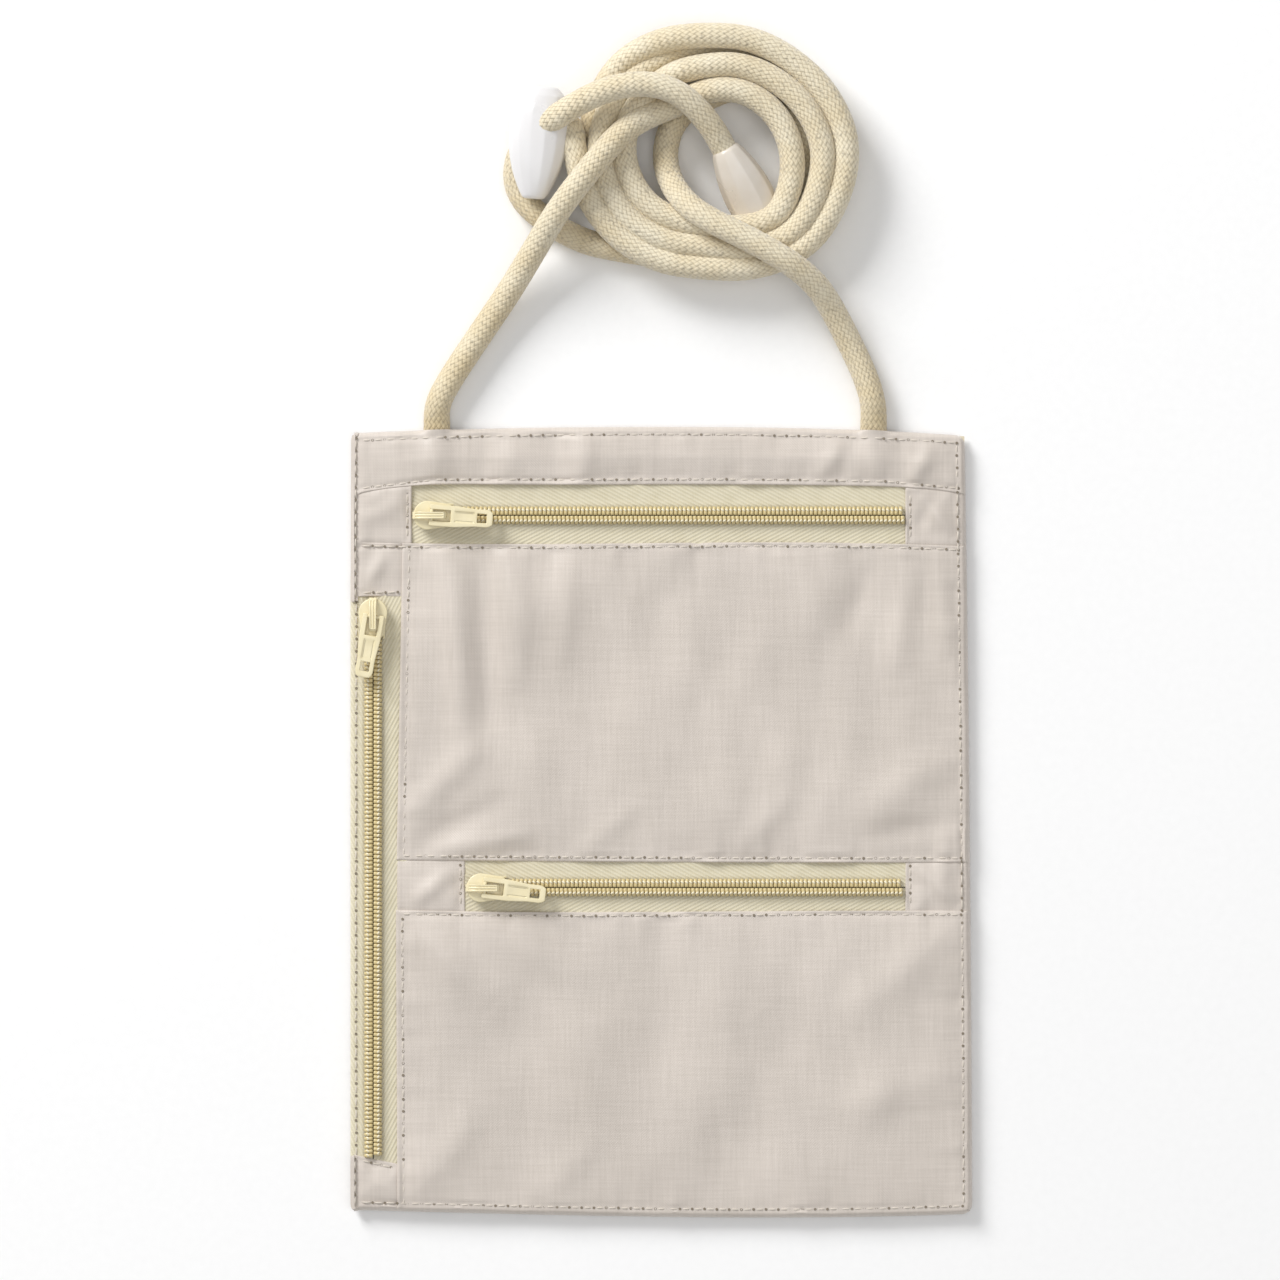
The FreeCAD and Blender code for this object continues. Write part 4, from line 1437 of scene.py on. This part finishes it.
@dataclass
class NeckCord:
    """One braided cord: a leg from the pouch, loose turns and its last stretch."""

    palette: Palette
    name: str
    leg: tuple[Point, ...]
    turns: tuple[Point, ...]
    last: tuple[Point, ...]
    stands_for: tuple[str, ...]
    radius: float = 3.0
    step: float = 0.5
    around: int = 64
    yarns: int = 16
    crossing: float = 1.75
    squeezed: float = 11.0
    yarn_dip: float = 0.09
    yarn_rise: float = 0.17
    mouth_drop: float = 1.15

    def route(self) -> list[Point]:
        """Control points of the whole cord, with the turns worked out twice in every eighth."""
        eighths = [turn[0] for turn in self.turns]
        middle: list[Point] = []
        for half in range(int(eighths[0] * 2), int(eighths[-1] * 2) + 1):
            eighth = half / 2
            reach = float(np.interp(eighth, eighths, [turn[1] for turn in self.turns]))
            height = float(np.interp(eighth, eighths, [turn[2] for turn in self.turns]))
            angle = eighth * math.pi / 4
            middle.append((COIL_CENTRE[0] + reach * math.sin(angle),
                           COIL_CENTRE[1] + reach * math.cos(angle), height))
        return [*self.leg, *middle, *self.last]

    def centreline(self) -> Array:
        """Even points along the cord's smooth line, in millimetres."""
        curve = bpy.data.curves.new(self.name + "_line", "CURVE")
        curve.dimensions = "3D"
        curve.resolution_u = 16
        spline = curve.splines.new("NURBS")
        points = self.route()
        spline.points.add(len(points) - 1)
        for target, point in zip(spline.points, points):
            target.co = (*(value * MM for value in point), 1.0)
        spline.order_u = 3
        spline.use_endpoint_u = True
        carrier = bpy.data.objects.new(self.name + "_line", curve)
        bpy.context.scene.collection.objects.link(carrier)
        bpy.context.view_layer.update()
        mesh = bpy.data.meshes.new_from_object(carrier.evaluated_get(bpy.context.evaluated_depsgraph_get()))
        line = np.array([tuple(vertex.co) for vertex in mesh.vertices]) / MM
        bpy.data.objects.remove(carrier)
        bpy.data.meshes.remove(mesh)
        run = np.concatenate([[0], np.cumsum(np.linalg.norm(np.diff(line, axis=0), axis=1))])
        even = np.linspace(0, run[-1], round(run[-1] / self.step) + 1)
        return np.column_stack([np.interp(even, run, line[:, axis]) for axis in range(3)])

    def braid(self, around: Array, along: Array) -> Array:
        """Height of the yarns from 0 to 1; both places count yarn crossings."""
        first, second = around + along, around - along
        over = np.mod(np.floor(first) + np.floor(second), 2)
        swell_a = 1 - np.abs(np.mod(first, 1) * 2 - 1) ** 2.6
        swell_b = 1 - np.abs(np.mod(second, 1) * 2 - 1) ** 2.6
        return np.where(over > 0.5, swell_a, swell_b)

    def build(self, with_pieces: Sequence[bpy.types.Object]) -> bpy.types.Object:
        """Args:
            with_pieces: the adjusters on this cord; not used.

        Returns:
            The cord.
        """
        line = self.centreline()
        count, around = len(line), self.around
        tangents = np.gradient(line, axis=0)
        tangents /= np.linalg.norm(tangents, axis=1)[:, None]
        normal = np.cross(tangents[0], (0.0, 0.0, 1.0))
        normals = []
        for tangent in tangents:
            normal = normal - tangent * normal.dot(tangent)
            normal = normal / np.linalg.norm(normal)
            normals.append(normal)
        normals = np.array(normals)
        binormals = np.cross(tangents, normals)
        turn = np.arange(around) / around
        length = np.arange(count) * self.step
        crossings = length / self.crossing
        swell = self.braid(turn[None, :] * self.yarns, crossings[:, None])
        radius = self.radius - self.yarn_dip + self.yarn_rise * swell
        angle = turn * 2 * math.pi
        offsets = (normals[:, None, :] * np.cos(angle)[None, :, None]
                   + binormals[:, None, :] * np.sin(angle)[None, :, None]) * radius[..., None]
        free = ease(np.clip(length / self.squeezed, 0, 1))[:, None]
        offsets[..., 2] *= 0.5 + 0.5 * free
        offsets[..., 0] *= 1.06 - 0.06 * free
        centres = line.copy()
        centres[:, 2] -= self.mouth_drop * (1 - free[:, 0])
        rings = centres[:, None, :] + offsets
        vertices = np.concatenate([rings.reshape(-1, 3), centres[[0, -1]]]) * MM
        ring, spot = np.meshgrid(np.arange(count - 1), np.arange(around), indexing="ij")
        after = (spot + 1) % around
        quads = np.stack([ring * around + spot, ring * around + after,
                          (ring + 1) * around + after, (ring + 1) * around + spot], -1).reshape(-1, 4)
        first, last = count * around, count * around + 1
        caps = [(first, (k + 1) % around, k) for k in range(around)]
        tail = (count - 1) * around
        caps += [(last, tail + k, tail + (k + 1) % around) for k in range(around)]
        mesh = bpy.data.meshes.new(self.name)
        mesh.from_pydata(vertices.tolist(), [], quads.tolist() + caps)
        layer = mesh.uv_layers.new(name="braid_map")
        u = np.stack([spot, spot + 1, spot + 1, spot], -1) / around
        v = np.stack([crossings[ring], crossings[ring], crossings[ring + 1], crossings[ring + 1]], -1)
        coordinates = np.column_stack([u.ravel(), v.ravel()])
        coordinates = np.concatenate([coordinates, np.zeros((len(caps) * 3, 2))])
        layer.data.foreach_set("uv", coordinates.ravel())
        mesh.polygons.foreach_set("use_smooth", [True] * len(mesh.polygons))
        mesh.update()
        piece = bpy.data.objects.new(self.name, mesh)
        bpy.context.scene.collection.objects.link(piece)
        outward(piece)
        dress(piece, self.palette.cord, stands_for=self.stands_for)
        exit_point = tuple(value * MM for value in self.leg[1])
        2 * self.radius * MM
        return piece


@dataclass
class CordAdjuster:
    """A moulded, softly faceted cord adjuster drawn out through oval sections."""

    palette: Palette
    name: str
    start: Point
    end: Point
    sections: tuple[Point, ...]
    stands_for: str
    warm: bool = False
    sides: int = 10

    def build(self) -> bpy.types.Object:
        """Draws the adjuster out along +x and turns it to its place."""
        length = math.dist(self.start, self.end)
        clear()
        bpy.ops.mesh.primitive_circle_add(vertices=self.sides, radius=1 * MM, rotation=(0, math.pi / 2, 0))
        piece = take(self.name)
        _, wide, thick = self.sections[0]
        with Shaping(piece) as work:
            work.all().scale(1, wide, thick)
            for (before, wide_0, thick_0), (after, wide_1, thick_1) in zip(self.sections, self.sections[1:]):
                bpy.ops.mesh.extrude_edges_move(
                    TRANSFORM_OT_translate={"value": ((after - before) * length * MM, 0, 0)})
                work.scale(1, wide_1 / wide_0, thick_1 / thick_0, (after * length, 0, 0))
            for place in (0.0, length):
                work.points(lambda p, x=place: abs(p.x - x) < NEAR)
                bpy.ops.mesh.edge_face_add()
                work.inset(0.7, 0.5)
        outward(piece)
        bevel(piece, 0.55, 2, 18)
        modify(piece, "SUBSURF", levels=2, render_levels=2)
        smooth(piece, 70)
        run = (Vector(self.end) - Vector(self.start)).normalized()
        across = run.cross(Vector((0, 0, 1))).normalized()
        turn = Matrix((run, across, across.cross(run) * -1)).transposed().to_4x4()
        settle(piece, Matrix.Translation(Vector(self.start) * MM) @ turn)
        outward(piece)
        finish = self.palette.warm_plastic if self.warm else self.palette.plastic
        return dress(piece, finish, stands_for=(self.stands_for,))


@dataclass
class NeckLoop:
    """Both cords and both adjusters."""

    palette: Palette

    def build(self) -> None:
        """Makes the neck loop."""
        left = CordAdjuster(
            self.palette, "left_cord_adjuster", (-28.6, 176.4, 8.6), (-30.6, 150.4, 8.6),
            ((0.0, 4.4, 2.8), (0.07, 6.0, 4.1), (0.2, 7.0, 4.9), (0.4, 7.4, 5.1), (0.6, 7.0, 5.0),
             (0.8, 5.6, 4.2), (0.94, 3.9, 3.1), (1.0, 3.0, 2.4)), "adjuster_left", sides=14)
        right = CordAdjuster(
            self.palette, "right_cord_adjuster", (15.4, 161.8, 9.2), (26.2, 141.2, 4.0),
            ((0.0, 3.6, 3.5), (0.08, 4.3, 4.1), (0.25, 5.5, 4.6), (0.5, 6.4, 4.6), (0.78, 5.7, 3.8),
             (1.0, 3.4, 2.6)), "adjuster_right", True)
        left_piece, right_piece = left.build(), right.build()
        NeckCord(self.palette, "left_cord", LEFT_LEG, LEFT_TURNS, OVER_STRAND,
                 ("cord_left_leg", "cord_over_strand", "cord_coil", "cord_left_sewn_end"),
                 ).build([right_piece])
        NeckCord(self.palette, "right_cord", RIGHT_LEG, RIGHT_TURNS, CORD_TAIL,
                 ("cord_right_leg", "cord_tail", "cord_right_sewn_end")).build([left_piece])


# ---------------------------------------------------------------- studio
@dataclass
class Studio:
    """Floor, lights and camera."""

    palette: Palette
    centre: Flat = (-5.07, 44.0)
    field_of_view: float = 308.7
    distance: float = 2000.0

    def build(self) -> None:
        """Sets the studio up."""
        self.floor()
        self.light("key_light", (-1300, 1560, 1180), 1000, 52.0)
        self.light("fill_light", (1200, -700, 1500), 1500, 4.6)
        self.light("top_light", (100, -100, 2200), 1400, 8.2)
        self.sky()
        self.camera()

    def floor(self) -> None:
        """A wide sheet of paper that curls up at its edges."""
        clear()
        bpy.ops.mesh.primitive_grid_add(
            x_subdivisions=8, y_subdivisions=8, size=6.0, location=(0, 0, -0.0002))
        piece = take("studio_floor")
        with Shaping(piece) as work:
            work.points(lambda p: max(abs(p.x), abs(p.y)) > 2900).move(z=120)
        smooth(piece, 60)
        piece.data.materials.append(self.palette.floor)

    def light(self, name: str, place: Point, size: float, power: float) -> None:
        """Adds a square soft light that points at the object."""
        data = bpy.data.lights.new(name, "AREA")
        data.shape = "SQUARE"
        data.size = size * MM
        data.energy = power
        lamp = bpy.data.objects.new(name, data)
        lamp.location = Vector(place) * MM
        aim = Vector((self.centre[0], self.centre[1], 0)) * MM - lamp.location
        lamp.rotation_euler = aim.to_track_quat("-Z", "Y").to_euler()
        bpy.context.scene.collection.objects.link(lamp)

    def sky(self) -> None:
        """Even pale surroundings."""
        world = bpy.data.worlds.new("studio_air")
        world.use_nodes = True
        world.node_tree.nodes["Background"].inputs["Color"].default_value = (1.0, 1.0, 1.0, 1.0)
        world.node_tree.nodes["Background"].inputs["Strength"].default_value = 0.38
        bpy.context.scene.world = world

    def camera(self) -> None:
        """A long lens straight above."""
        data = bpy.data.cameras.new("overhead_camera")
        data.sensor_width = 36.0
        data.lens = 36.0 * self.distance / self.field_of_view
        data.clip_end = 20.0
        camera = bpy.data.objects.new("overhead_camera", data)
        camera.location = Vector((self.centre[0], self.centre[1], self.distance)) * MM
        bpy.context.scene.collection.objects.link(camera)
        bpy.context.scene.camera = camera
        bpy.context.scene.view_settings.view_transform = "Standard"


def main() -> None:
    """Builds everything in order."""
    logging.basicConfig(level=logging.INFO, format="%(name)s %(message)s")
    palette = Palette()
    Studio(palette).build()
    NeckLoop(palette).build()
    PouchBody(palette).build()
    even = (10.0, 10.0)
    Zip(palette, "top", (-60.0, 74.0), 0, 118.8, even, (-4, 0.05)).build()
    Zip(palette, "lower", (-47.2, -15.6), 0, 106.0, even, (-7, 0.1)).build()
    Zip(palette, "side", (-69.3, 54.4), -90, 135.7, (10.0, 5.55), (-10, 0.2)).build()


if __name__ == "__main__":
    main()
